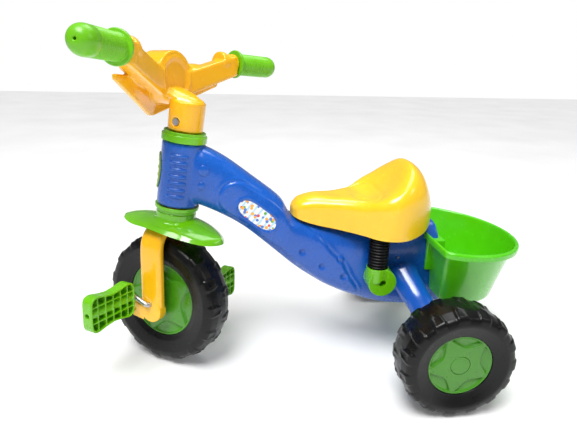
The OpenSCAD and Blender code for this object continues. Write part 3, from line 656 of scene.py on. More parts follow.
@dataclass
class Wheel:
    """A hollow moulded wheel with raised lugs on both shoulders and a green hubcap."""

    radius: float
    width: float
    hub: float
    lugs: int = 15
    lug_h: float = 2.4
    lug_half: float = 8.0
    lug_reach: float = 25.0
    recess: float = 9.0
    bore: float = 4.2
    disc_t: float = 4.4

    def tyre(self, both: bool) -> Shape:
        """The tyre about Z.

        Args:
            both: whether both faces take a hubcap.

        Returns:
            The shape.
        """
        w, r, hub = self.width / 2, self.radius - self.lug_h - 0.1, self.hub
        floor = w - self.recess - self.disc_t
        back = -floor if both else -(w - self.recess)
        half = [
            (hub, floor, 0), (hub, w - self.recess + 1.0, 1.0), (hub + 2.0, w - self.recess + 1.6, 2.0),
            (hub + 9, w - 4.6, 8), (r - 17, w + 0.5, 9), (r - 4, w - 3.0, 13), (r, w - 20, 14),
        ]
        other = [(x, -z, c) for x, z, c in reversed(half[1:])]
        crown = (r + 0.4, 0, 30)
        corners = [(self.bore, floor, 0), *half, crown, *other, (hub, back, 0), (self.bore, back, 0)]
        shape = Shape().spin(rounded(corners, 5), self.lugs * 24, closed=True)
        step = math.tau / self.lugs

        def lug(co: Vector, normal: Vector) -> Vector:
            """Radial move that raises the lugs."""
            radial = math.hypot(co.x, co.y)
            if radial < r - 18:
                return Vector()
            side = 1 if co.z > 0 else -1
            turn = math.atan2(co.y, co.x) + (0 if side > 0 else step / 2)
            u = ((turn / step) % 1 - 0.5) * step * self.radius
            v = w - abs(co.z) - (self.lug_reach - self.lug_half)
            reach = math.hypot(u, v) if v > 0 else abs(u)
            wide = self.lug_half + (1.5 if v < -6 else 0)
            mask = ease(wide + 1.4, wide - 1.4, reach) * ease(r - 15, r - 7, radial)
            rim = ease(wide - 2.2, wide - 4.2, reach) * ease(-12, -7, v)
            return Vector((co.x, co.y, 0)).normalized() * (mask * (self.lug_h - rim * 1.5))

        return shape.push(lug).outward()

    def hubcap(self, centre: float) -> Shape:
        """The hubcap about Z with its face at 0.

        Args:
            centre: radius of the hole in its middle.

        Returns:
            The shape.
        """
        outer = self.hub - 0.4
        rings = 44
        face = [(outer - 0.7 - (outer - 0.7 - centre) * k / rings, 0.0) for k in range(rings + 1)]
        profile = [(centre, -self.disc_t), (outer, -self.disc_t), (outer, -0.8), (outer - 0.2, -0.25), *face]
        shape = Shape().spin(profile, 240, closed=True)

        def star(co: Vector, normal: Vector) -> Vector:
            """Sinks five crescent pockets, which leaves a star."""
            radial = math.hypot(co.x, co.y)
            if co.z < -0.5:
                return Vector()
            across = ((math.atan2(co.y, co.x) / math.tau * 5) % 1 - 0.5) * 2
            inner = outer * (0.62 + 0.42 * across * across + 0.1 * across)
            depth = ease(inner - 0.6, inner + 2.0, radial) * (1 - 0.8 * ease(inner, outer * 0.99, radial))
            fade = ease(outer - 1.5, outer - 4.5, radial)
            dish = 0.9 * ease(0.5 * outer, outer, radial)
            return Vector((0, 0, -(3.6 * depth * fade) - dish * fade))

        return shape.push(star).outward()

    @staticmethod
    def cap(radius: float) -> Shape:
        """Round centre cap about Z with a softly rounded edge, its skirt below 0."""
        corners = [
            (radius - 2, -6, 0), (radius, -6, 0), (radius, 1.9, 1.2), (radius * 0.5, 2.0, 3), (0.05, 2.0, 0),
        ]
        inner = [(0.05, 0.0), (radius - 2, 0.0)]
        return Shape().spin(rounded(corners, 4) + inner, 96, closed=True).outward()


@dataclass
class Wheels:
    """The steered front wheel and the two rear wheels."""

    front: Wheel
    rear: Wheel
    rear_track: float = 370.0
    cap_r: float = 15.0
    front_bore: float = 4.3

    @staticmethod
    def across(y: float, side: Side) -> Matrix:
        """Turns Z into the outward direction of one side, at a place y from the middle."""
        out = Matrix.Rotation(-math.pi / 2 * side.value, 4, "X")
        return Matrix.Translation((0, y * side.value, 0)) @ out

    def build(self, shop: Workshop) -> None:
        """Makes every wheel piece."""
        lay = self.across(0, Side.LEFT)
        shop.piece(self.front.tyre(True).move(lay), "front_tyre_moulding", "tyre_black", "front_wheel",
                   shop.front, ["front_tyre"])
        caps = Shape()
        for side in Side:
            face = self.front.width / 2 - self.front.recess
            one = self.front.hubcap(self.front_bore).move(self.across(face, side))
            caps.join(one)
        shop.piece(caps, "front_hubcap_pair", "hub_green", "front_wheel", shop.front, ["front_hubcaps"])
        for side in Side:
            body = f"{side.word}_rear_wheel"
            middle = self.rear_track / 2
            face = middle + self.rear.width / 2 - self.rear.recess
            shop.piece(self.rear.tyre(False).move(self.across(middle, side)), f"{side.word}_tyre_moulding",
                       "tyre_black", body, shop.rear, [f"{side.word}_rear_tyre"])
            turn = Matrix.Rotation(math.radians(14), 4, "Z")
            cap = self.rear.hubcap(self.cap_r + 0.45).move(self.across(face, side) @ turn)
            shop.piece(cap, f"{side.word}_star_hubcap", "hub_green", body, shop.rear,
                       [f"{side.word}_rear_hubcap"])
            middle_cap = Wheel.cap(self.cap_r - 0.1).move(self.across(face - 1.6, side))
            shop.piece(middle_cap, f"{side.word}_round_cap", "hub_green", body, shop.rear,
                       [f"{side.word}_rear_centre_cap"])


# ---------------------------------------------------------------- frame


@dataclass
class Beam:
    """The blow-moulded body with its head tube, panels, dimples, ribs and label recesses."""

    head_r: float = 34.0
    head_s: Pair = (170.6, 276.2)
    axle_z: float = 25.02
    lead: float = 450.0
    power: float = 3.2
    panel: Tuple[Point, ...] = (
        (326, 208, 29), (262, 168, 29), (208, 118, 26), (172, 82, 23), (140, 40, 21),
    )
    dimples: Tuple[Pair, ...] = ((216, 115), (152, 103), (182, 90), (144, 71))
    label_at: Pair = (293.0, 181.0)
    label_slope: float = math.radians(37)
    label_half: Pair = (21.5, 14.5)

    def on_head(self, x: float, s: float) -> Pair:
        """Place beside the head tube, from the rear axle, for a distance ahead of it and up it."""
        c, n = math.cos(HEAD_ANGLE), math.sin(HEAD_ANGLE)
        return self.lead - s * n + x * c, self.axle_z + s * c + x * n

    def stations(self) -> List[List[float]]:
        """Rows of top x and z, bottom x and z, and half width, from the head to the tail."""
        rows = [
            [*self.on_head(-12, 271.4), *self.on_head(-14, 176.4), 26],
            [*self.on_head(-35, 271.4), *self.on_head(-35, 176.4), 32],
            [*self.on_head(-70, 258.4), *self.on_head(-76, 164.4), 32],
            [*self.on_head(-112, 236.4), *self.on_head(-122, 144.4), 32],
        ]
        return rows + [
            [254, 203, 238, 90, 33], [237, 177, 224, 79, 33], [220, 169, 206, 66, 34],
            [185, 161, 166, 42, 40.5],
            [120, 153, 112, 20, 45], [60, 151, 60, 6, 45], [8, 159, 0, 2, 45], [-18, 163, -42, 6, 43],
        ]

    def body(self, grow: float) -> Shape:
        """The beam alone, grown all round by some millimetres."""
        rows = self.stations()

        def place(u: float, v: float) -> Point:
            """Point of the loft with rounded ends; u goes along and v around."""
            along = min(max((u - 0.03) / 0.94, 0.0), 1.0)
            tx, tz, bx, bz, half = track(rows, along)
            close = 1.0 if 0.03 <= u <= 0.97 else math.sqrt(max(1 - (1 - min(u, 1 - u) / 0.03) ** 2, 0.0))
            close = 0.86 * close + 0.14 if 0 < u < 1 else 0.0
            turn = v * math.tau
            across, rise = bulge(math.cos(turn), self.power), bulge(math.sin(turn), self.power)
            cx, cz, ex, ez = (tx + bx) / 2, (tz + bz) / 2, (tx - bx) / 2, (tz - bz) / 2
            size = 1 + grow / math.hypot(ex, ez)
            up = rise * close * size
            return cx + ex * up, (half + grow) * across * close, cz + ez * up

        return Shape().sheet(place, 150, 96).outward()

    def in_label(self, x: float, z: float) -> float:
        """Distance outside the rim of the label, negative on it."""
        dx, dz = x - self.label_at[0], z - self.label_at[1]
        c, n = math.cos(self.label_slope), math.sin(self.label_slope)
        along, up = dx * c + dz * n, dz * c - dx * n
        return math.hypot(max(abs(along) - self.label_half[0], 0.0), up) - self.label_half[1]

    def relief(self, co: Vector, normal: Vector) -> Vector:
        """Sideways move that forms the raised panel, its dimples and the label's recess."""
        facing = ease(0.45, 0.85, abs(normal.y))
        ahead = self.lead - co.z * math.tan(HEAD_ANGLE) - self.head_r - 6
        if facing == 0 or co.x > ahead:
            return Vector()
        steps = [self._to_chain(co.x, co.z, a, b) for a, b in zip(self.panel, self.panel[1:])]
        near = -7.0 * math.log(sum(math.exp(-d / 7.0) for d in steps))
        move = 3.4 * ease(3.2, -3.2, near) - 1.0 * math.exp(-((near - 5.0) / 3.2) ** 2)
        for x, z in self.dimples:
            move -= 3.0 * ease(6.6, 3.0, math.hypot(co.x - x, co.z - z))
        out = self.in_label(co.x, co.z)
        move += 1.5 * math.exp(-((out - 2.6) / 1.7) ** 2) - 1.1 * ease(1.6, 0.2, out)
        return Vector((0, math.copysign(move * facing, co.y), 0))

    @staticmethod
    def _to_chain(x: float, z: float, a: Point, b: Point) -> float:
        """Distance outside a band that runs between two discs."""
        dx, dz = b[0] - a[0], b[1] - a[1]
        t = min(max(((x - a[0]) * dx + (z - a[1]) * dz) / (dx * dx + dz * dz), 0.0), 1.0)
        return math.hypot(x - a[0] - dx * t, z - a[1] - dz * t) - (a[2] + (b[2] - a[2]) * t)

    def around_head(self, angle: float, s: float, radius: float) -> Point:
        """Point at an angle around the head tube, s up it and radius from its axis."""
        x, z = self.on_head(radius * math.cos(angle), s)
        return x, radius * math.sin(angle), z

    def build(self, shop: Workshop) -> None:
        """Makes the body, its labels and its badge."""
        low, high = self.head_s
        shape = self.body(0.0)
        slim = self.head_r - 1.5
        for a, b, r in ((low, low + 3, slim), (low + 2, high - 2, self.head_r), (high - 3, high, slim)):
            shape.rod(self.around_head(0, a, 0), self.around_head(0, b, 0), r, segments=128)
        shape.outward().fuse(1.7, 7).push(self.relief).relax(1)
        ends = self.around_head(0, low - 9, 0), self.around_head(0, high + 9, 0)
        bore = Shape().rod(*ends, COLUMN_BORE, segments=64).rod((0, -60, 0), (0, 60, 0), AXLE_BORE)
        shape.cut(bore)
        labels = {side: self.label(shape, side) for side in Side}
        tree = BVHTree.FromBMesh(shape.bm)
        for side in Side:
            self.ribs(shape, side)
            for x, z, r in ((378, 256, 8.5), (382, 231, 6.0)):
                hit = tree.ray_cast(Vector((x, 90 * side.value, z)), Vector((0, -side.value, 0)))[0]
                y = hit.y if hit else 30 * side.value
                shape.rod((x, y - 5 * side.value, z), (x, y + 1.1 * side.value, z), r)
                shape.rod((x, y + 1.1 * side.value, z), (x, y + 2.0 * side.value, z), r, r - 1.1)
        shop.piece(shape, "body_moulding", "frame_blue", "frame_body", shop.rear, ["frame"])
        for side, label in labels.items():
            shop.piece(label, f"{side.word}_pattern_label", "label_print", "frame_body", shop.rear,
                       [f"{side.word}_label"])
        shop.piece(self.badge(), "oval_badge", "badge_green", "frame_body", shop.rear, ["head_badge"])

    def ribs(self, shape: Shape, side: Side) -> None:
        """Adds seven pill ribs to one side of the head tube."""
        for k in range(7):
            s = self.head_s[0] + 20 + 11 * k

            def place(u: float, v: float) -> Point:
                """Point of a rib; u goes along it and v around it."""
                t = 2 * u - 1
                thick = math.sqrt(max(1 - abs(t) ** 8, 0.0))
                turn = v * math.tau
                rise = 2.6 * thick * math.sin(turn) - 0.2
                angle = math.radians(86 + 25 * t) * side.value
                return self.around_head(angle, s + 3.2 * thick * math.cos(turn), self.head_r + rise)

            shape.sheet(place, 40, 16)
        shape.outward()

    def label(self, body: Shape, side: Side) -> Shape:
        """Film that lies in the recess of one side, found by dropping points on the body."""
        tree = BVHTree.FromBMesh(body.bm)
        c, n = math.cos(self.label_slope), math.sin(self.label_slope)
        straight, r = self.label_half

        def place(u: float, v: float) -> Point:
            """Point of the film; u goes from its middle outward and v around."""
            turn = v * math.tau
            along = u * (r * math.cos(turn) + straight * bulge(math.cos(turn), 6))
            up = u * r * math.sin(turn)
            x, z = self.label_at[0] + along * c - up * n, self.label_at[1] + along * n + up * c
            hit = tree.ray_cast(Vector((x, 90 * side.value, z)), Vector((0, -side.value, 0)))[0]
            rise = 0.3 if u < 0.97 else 0.05
            return x, (hit.y if hit else 33 * side.value) + rise * side.value, z

        return Shape().sheet(place, 14, 72).outward()

    def badge(self) -> Shape:
        """Oval badge with a raised rim and three raised bars, on the front of the head tube."""
        middle = sum(self.head_s) / 2

        def face(radius: float) -> Callable[[float, float], Point]:
            """Point function of the badge's face or back."""

            def place(u: float, v: float) -> Point:
                """Point of the badge; u goes from its middle outward and v around."""
                turn = v * math.tau
                wide, tall = 17 * u * math.cos(turn), 30 * u * math.sin(turn)
                lift = 0.9 * ease(0.8, 0.86, u) * ease(1.0, 0.94, u)
                bars = 0.7 * ease(2.4, 1.4, abs((tall + 24) % 12 - 6)) * ease(0.72, 0.62, u)
                grow = lift + bars if radius > self.head_r + 1 else 0.0
                return self.around_head(wide / self.head_r, middle + tall, radius + grow)

            return place

        shape = Shape().sheet(face(self.head_r + 1.6), 40, 96)
        back = Shape().sheet(face(self.head_r + 0.25), 40, 96)
        shape.join(back)
        rims = [e for e in shape.bm.edges if e.is_boundary]
        bmesh.ops.bridge_loops(shape.bm, edges=rims)
        return shape.outward()


@dataclass
class Legs:
    """The two rear legs, which flare at the body and end at the wheels."""

    rings: Tuple[Tuple[float, float, float, float], ...] = (
        (36, 68, 45.6, 28.5), (36, 68, 48.5, 26.6), (35, 66.5, 53, 25.2), (31, 58, 64, 23.8),
        (25, 47.5, 79, 22.2),
        (19.5, 37, 93, 21.6), (12, 22, 108, 21.2), (4, 8, 124, 20.6), (0, 0, 137, 20.2), (0, 0, 146.2, 20.0),
    )

    def build(self, shop: Workshop) -> None:
        """Makes both legs."""
        for side in Side:

            def place(u: float, v: float) -> Point:
                """Point of the tube; u goes along with closed ends and v around."""
                x, z, y, r = track(self.rings, min(max((u - 0.06) / 0.88, 0.0), 1.0))
                inset = 1.0 if 0.06 <= u <= 0.94 else math.sin(min(u, 1 - u) / 0.06 * math.pi / 2)
                tip = 2.2 * (1 - math.cos((1 - min(max((1 - u) / 0.06, 0.0), 1.0)) * math.pi / 2))
                turn = v * math.tau
                across = r * inset * math.cos(turn)
                return x + across, (y + tip) * side.value, z + r * inset * math.sin(turn)

            shape = Shape().sheet(place, 72, 72).outward()
            bore = Shape().rod((0, 40 * side.value, 0), (0, 160 * side.value, 0), AXLE_BORE)
            shop.piece(shape.cut(bore), f"{side.word}_leg_moulding", "leg_blue", "frame_body", shop.rear,
                       [f"{side.word}_rear_leg"])


# ---------------------------------------------------------------- seat and basket


@dataclass
class Saddle:
    """Thin-walled saddle seat with a flat skirt, a dished top and a rolled back."""

    half: float = 92.0
    wall: float = 3.0
    groove_at: Pair = (152.0, 68.0)
    posts: Tuple[Pair, ...] = ((40, 155.5), (170, 161.4))
    stations: Tuple[Tuple[float, ...], ...] = (
        (235, 188, 182, 176, 0.06, 2), (231, 194, 184, 174, 0.2, 2.2), (220, 203, 186, 170, 0.3, 2.4),
        (195, 209, 188, 163, 0.36, 2.6), (155, 211, 188, 157, 0.48, 2.8), (122, 214, 190, 154, 0.7, 2.8),
        (98, 222, 192, 152, 0.91, 3.6), (76, 240, 194, 152, 1, 3.0), (56, 260, 196, 152, 0.97, 2.7),
        (38, 267, 196, 154, 0.88, 2.4), (20, 257, 194, 158, 0.74, 2.2), (7, 238, 190, 162, 0.57, 2.1),
        (-3, 212, 186, 166, 0.37, 2), (-8, 190, 182, 170, 0.12, 2),
    )

    def place(self, u: float, v: float) -> Point:
        """Point of the shell; u goes from the nose to the tail and v from skirt to skirt."""
        x, crown, shoulder, skirt, share, power = track(self.stations, u)
        half = self.half * share
        if u in (0.0, 1.0):
            half = 0.4
        w = abs(v - 0.5) * 2
        side = 1 if v > 0.5 else -1
        if w > 0.78:
            t = (w - 0.78) / 0.22
            return x, side * (half + 0.5 * t), shoulder + (skirt - shoulder) * t
        turn = (w / 0.78) * math.pi / 2
        y, rise = half * bulge(math.sin(turn), power), bulge(math.cos(turn), power)
        f = y / max(half, 1.0)
        dish = 4.0 * ease(84, 118, x) * ease(200, 150, x) + 18.0 * ease(34, 64, x) * ease(140, 84, x)
        z = shoulder + (crown - shoulder) * rise - dish * max(1 - (f / 0.9) ** 2, 0.0)
        middle, reach = self.groove_at
        ring = (((x - middle) / reach) ** 4 + (f / 0.76) ** 4) ** 0.25
        z -= 1.5 * math.exp(-(((ring - 1) * 42) / 1.3) ** 2) * ease(0.4, 0.6, rise)
        return x, side * y, z

    def build(self, shop: Workshop) -> None:
        """Makes the seat with the posts below it."""
        shape = Shape().sheet(self.place, 150, 176).outward().top_up()
        shape.modified(solid_sheet(self.wall))
        for x, z in self.posts:
            top = 246 if x < 100 else 202
            shape.rod((x, 0, z), (x, 0, top), 9.0)
        shop.piece(shape, "saddle_moulding", "seat_yellow", "frame_body", shop.rear, ["seat"])


@dataclass
class Bin:
    """Basket behind the seat: a D in plan with a thick rolled rim."""

    at: Point = (-72.0, 0.0, 141.0)
    slope: float = math.radians(5)
    half: float = 138.0
    front: float = 77.0
    depth: float = 106.0
    wall: float = 3.0
    arc_x: float = 38.0
    rows: Tuple[Tuple[float, float, float], ...] = (
        (-106.0, 0.0, 20.0), (-106.0, 0.56, 20.0), (-105.0, 0.635, 26.0), (-101.5, 0.682, 30.0),
        (-94.0, 0.708, 32.0), (-70.0, 0.765, 32.0), (-40.0, 0.838, 33.0), (-14.0, 0.905, 34.0),
        (-3.5, 0.932, 34.0), (-0.6, 0.945, 34.0), (0.6, 0.965, 34.0), (0.2, 0.985, 35.0), (-2.0, 0.998, 36.0),
        (-6.0, 1.0, 36.0), (-9.5, 0.999, 36.0),
    )

    def outline(self, share: float, corner: float, v: float) -> Pair:
        """Point on the D: round to the rear, flat to the front, with rounded front corners."""
        if share == 0:
            return 0.0, 0.0
        to_rim = min(max((share - 0.56) / 0.4, 0.0), 1.0)
        arc_x = self.arc_x * to_rim + 10 * (1 - to_rim)
        r = self.half * share
        front = self.front - self.half * (1 - share) * 0.62
        turn = v * math.tau
        x, y = arc_x + r * math.cos(turn), r * math.sin(turn)
        if x > front - corner:
            over = (x - (front - corner)) / max(arc_x + r - front + corner, 1.0)
            x = front - corner + corner * math.sin(min(over * 2.2, 1.0) * math.pi / 2)
        return x, y

    def place(self, u: float, v: float) -> Point:
        """Point of the shell; u goes from the floor's middle up and over the rim, v around."""
        z, share, corner = track(self.rows, u)
        if u == 0:
            return 0.0, 0.0, -self.depth
        return *self.outline(max(share, 0.0), corner, v), z

    def build(self, shop: Workshop, beam: Beam) -> None:
        """Makes the basket with its notch for the tail of the frame."""
        shape = Shape().sheet(self.place, 64, 200).outward()
        low = [f for f in shape.bm.faces if f.calc_center_median().z < -30]
        wall = max(low, key=lambda f: abs(f.calc_center_median().y))
        if wall.normal.y * wall.calc_center_median().y < 0:
            bmesh.ops.reverse_faces(shape.bm, faces=shape.bm.faces)
        shape.modified(solid_sheet(self.wall))
        shape.move(Matrix.Translation(self.at) @ Matrix.Rotation(-self.slope, 4, "Y"))
        ear = Shape().block((-30, -49, 81), (2, 49, 137)).outward()
        bmesh.ops.bevel(
            ear.bm, geom=ear.bm.edges, offset=3, segments=4, profile=0.5, affect="EDGES", material=-1,
        )
        shape.join(ear)
        shape.cut(beam.body(0.7))
        shop.piece(shape, "basket_moulding", "basket_green", "frame_body", shop.rear, ["basket"])


# ---------------------------------------------------------------- rear struts


@dataclass
class Struts:
    """The two black bellows and the green brackets that they stand in."""

    x: float = 92.0
    y: float = 64.2
    z: Pair = (90.0, 174.4)
    turns: int = 13

    def build(self, shop: Workshop) -> None:
        """Makes both bellows and both brackets."""
        low, high = self.z
        zone = high - 8 - (low + 8)
        profile = [(0.05, low), (12.5, low), (12.5, low + 8)]
        for k in range(self.turns * 12 + 1):
            t = k / 12
            swell = (0.5 - 0.5 * math.cos(math.tau * t)) ** 0.8
            profile.append((14.0 + 2.9 * swell, low + 8 + zone * t / self.turns))
        profile += [(13.5, high - 7), (13.5, high - 0.5), (13, high), (0.05, high)]
        for side in Side:
            turn = Matrix.Translation((self.x, self.y * side.value, 0))
            shop.piece(Shape().spin(profile, 96).outward().move(turn), f"{side.word}_bellows_sleeve",
                       "bellows_black", "frame_body", shop.rear, [f"{side.word}_shock_bellows"])
            node = f"{side.word}_shock_bracket"
            shape = Shape().node(shop.cad(node), shop.rear.inverted()).fuse(0.9, 4)
            shape.cut(Shape().rod((86, 70 * side.value, 74), (86, 84 * side.value, 74), 6.0))
            shop.piece(shape, f"{side.word}_strut_bracket", "bracket_green", "frame_body", shop.rear, [node])


# ---------------------------------------------------------------- steering


@dataclass
class Steering:
    """Fork, mudguard, handlebar and grips, which turn together, and the collars that they turn in."""

    rise: float = 401.0
    guard_x: float = -12.0
    guard_l: float = 196.0
    guard_w: float = 104.0
    guard_top: float = 149.0
    arch_r: float = 300.0
    droop_r: float = 120.0
    collar_r: float = 36.0
    grip_r: float = 18.8
    grip_l: float = 96.0
    flange_r: float = 24.0

    def collars(self, shop: Workshop) -> None:
        """Makes the two collars of the head tube."""
        bore, r = COLUMN_BORE, self.collar_r
        upper = [
            (bore, 276.7, 0), (r, 276.7, 0), (r, 287.2, 1.6), (r - 2.6, 287.6, 0.6), (r - 2.6, 292.2, 1.2),
            (bore, 292.2, 0),
        ]
        lower = [
            (bore, 158.7, 0), (r - 3.2, 158.7, 1.0), (r - 3.2, 163.6, 0.5), (r, 164.0, 1.5), (r, 170.1, 0.8),
            (bore, 170.1, 0),
        ]
        for word, ring in (("upper", upper), ("lower", lower)):
            shape = Shape().spin(rounded(ring, 4)[:-1], 128, closed=True).outward()
            shop.piece(shape, f"{word}_ring", "collar_green", "frame_body", shop.head,
                       [f"{word}_head_collar"])

    @staticmethod
    def bow(u: float, v: float) -> Point:
        """Point of the fork's bow; u goes from one foot over the crown to the other, v around."""
        rows = (
            (41.5, -12, 0), (41.5, 25, 0), (41.5, 60, 0), (41.5, 88, 4), (38.5, 107, 28), (28.5, 121, 60),
            (14, 127.5, 82), (0, 128.5, 90),
        )
        y, z, lean = track(rows, 1 - abs(2 * u - 1))
        side = -1 if u > 0.5 else 1
        end = min(u, 1 - u) / 0.02
        close = 1.0 if end >= 1 else math.sqrt(max(1 - (1 - end) ** 2, 0.0))
        turn = v * math.tau
        across = 21.5 * bulge(math.cos(turn), 3.6) * close
        out = 8.6 * bulge(math.sin(turn), 3.0) * close
        a = math.radians(lean)
        return across, side * (y + out * math.cos(a)), z + out * math.sin(a)

    def fork(self, shop: Workshop) -> None:
        """Makes the fork with rounded legs and shoulders."""
        shape = Shape().sheet(self.bow, 150, 56).outward()
        lean = shop.front.inverted() @ shop.column
        column = Shape().rod((0, 0, 124), (0, 0, 330), 15.9, segments=96)
        column.rod((0, 0, 121), (0, 0, 138), 29).move(lean)
        shape.join(column)
        for side in Side:
            y = side.value
            shape.rod((0, 33.3 * y, -11), (0, 49.8 * y, -11), 21, segments=96)
            shape.rod((15, 38 * y, -14), (15, 50.6 * y, -14), 11)
        shape.outward().fuse(1.3, 5)
        shape.cut(Shape().rod((0, -60, 0), (0, 60, 0), 4.1, segments=48))
        shop.piece(shape, "fork_moulding", "fork_yellow", "steering", shop.front, ["fork"])
        for side in Side:
            node = f"{side.word}_axle_clamp"
            clamp = Shape().node(shop.cad(node), shop.front.inverted()).fuse(0.7, 3)
            shop.piece(clamp, f"{side.word}_clamp_block", "fork_yellow", "steering", shop.front, [node])

    def leaf(self, u: float, v: float) -> Point:
        """Point of the mudguard's top; u goes along it and v across."""
        t = 2 * u - 1
        w = 2 * v - 1
        x = self.guard_l / 2 * math.sin(t * math.pi / 2)
        half = self.guard_w / 2 * max(1 - abs(x / (self.guard_l / 2)) ** 2.4, 0.0) ** 0.56
        y = w * half
        ring = self.arch_r - self.droop_r + math.sqrt(self.droop_r ** 2 - y * y)
        z = self.guard_top - self.arch_r + math.sqrt(ring * ring - x * x)
        rear, ahead = ease(5, -98, x), ease(10, 98, x)
        z += 7 * ahead * ahead - 12 * rear * rear - 8 * ease(35, -40, x) * abs(w) ** 1.8
        z -= 2.2 * ease(0.86, 1.0, abs(w))
        return self.guard_x + x, y, z

    def mudguard(self, shop: Workshop) -> None:
        """Makes the leaf-shaped mudguard with the neck that the lower collar sits on."""
        shape = Shape().sheet(self.leaf, 120, 84).outward().top_up()
        shape.modified(solid_sheet(3.2, 1.0))
        bore = COLUMN_BORE
        corners = [(bore, 138.4, 0), (46, 138.4, 0), (33.2, 143.5, 14), (32.8, 158.2, 1.2), (bore, 158.2, 0)]
        neck = Shape().spin(rounded(corners, 6)[:-1], 128, closed=True).outward()
        lean = shop.front.inverted() @ shop.column
        neck.move(lean)
        shape.join(neck)
        shape.cut(Shape().rod((0, 0, 100), (0, 0, 200), bore, segments=64).move(lean))
        shop.piece(shape, "mudguard_leaf", "mudguard_green", "steering", shop.front, ["mudguard"])

    def handlebar(self, shop: Workshop) -> None:
        """Makes the handlebar with its drum, cap, shield and stepped arms."""
        z = self.rise
        shape = Shape().node(shop.cad("handlebar"), shop.front.inverted())
        for side in Side:
            y = side.value
            shape.rod((-40, 139 * y, z), (-33, 117 * y, z), 17.5, 14.5)
            shape.rod((-33, 117 * y, z), (-30, 106 * y, z), 19.0, 19.0)
            shape.rod((26, 6 * y, z - 78), (-8, 96 * y, z - 40), 3.4, 2.6, segments=24)
            shape.rod((16, 6 * y, z - 52), (-8, 92 * y, z - 30), 3.4, 2.6, segments=24)
            shape.ball((-12, 62 * y, z - 20), (16, 46, 15))
        shape.rod((-23, 0, z - 30), (22, 0, z - 30), 40.5, segments=128)
        cap = Shape().ball((0, 0, 0), (49, 27, 9))
        cap.move(Matrix.Translation((-24, 0, z - 56)) @ Matrix.Rotation(math.radians(-20), 4, "Y"))
        shape.join(cap)
        shape.outward().fuse(1.5, 5)

        def oval(co: Vector, normal: Vector) -> Vector:
            """Raises an oval on the cap and rings the drum's faces."""
            move = Vector()
            lift = math.hypot((co.x + 26) / 40, co.y / 17.5)
            if normal.z > 0.5 and -75 < co.x < 12 and abs(co.y) < 26 and co.z < z - 34:
                move += normal * (2.2 * ease(1.04, 0.94, lift))
            across = math.hypot(co.y, co.z - (z - 32))
            if abs(normal.x) > 0.7 and across < 40:
                move += normal * (1.3 * math.exp(-((across - 32) / 2.4) ** 2) - 1.0 * ease(29, 25, across))
            return move

        shape.push(oval).relax(1)
        shop.piece(shape, "handlebar_moulding", "handlebar_yellow", "steering", shop.front, ["handlebar"])

    def grips(self, shop: Workshop) -> None:
        """Makes both grips with a flange, fine rings and a smooth domed end."""
        r, length = self.grip_r, self.grip_l
        rim = self.flange_r
        corners = [(11.2, 0.2, 0), (rim, 0.2, 1.5), (rim, 5, 2), (r - 0.8, 5.6, 1.5), (r - 0.8, 9, 0)]
        profile = rounded(corners, 5)
        rings = 13
        start, end = 9.0, length * 0.7
        for k in range(rings * 12 + 1):
            t = k / 12
            profile.append((r - 0.5 - 0.45 * math.cos(math.tau * t), start + (end - start) * t / rings))
        nose = 18.0
        profile.append((r - 0.05, end + 2))
        for k in range(25):
            a = k / 24 * math.pi / 2
            profile.append((3.0 + (r - 3.0) * math.cos(a), length - nose + nose * math.sin(a)))
        profile += [(2.2, length - 0.6), (2.0, length - 3), (2.0, length - 22), (11.2, length - 24)]
        for side in Side:
            mount = shop.mounts[f"{side.word}_grip_barrel"]
            axis = Vector(mount["axis"]).normalized()
            if axis.y * side.value < 0:
                axis = -axis
            inner = Vector(mount["pos_m"]) - axis * (mount["dims"]["length_mm"] * MM / 2 + 0.005)
            m = axis.to_track_quat("Z", "Y").to_matrix().to_4x4()
            m.translation = inner
            shape = Shape().spin(profile, 128, closed=True).outward()
            shop.piece(shape, f"{side.word}_grip_sleeve", "grip_green", "steering", m @ Matrix.Scale(MM, 4),
                       [f"{side.word}_grip"])

    def build(self, shop: Workshop) -> None:
        """Makes every steered piece."""
        self.collars(shop)
        self.fork(shop)
        self.mudguard(shop)
        self.handlebar(shop)
        self.grips(shop)


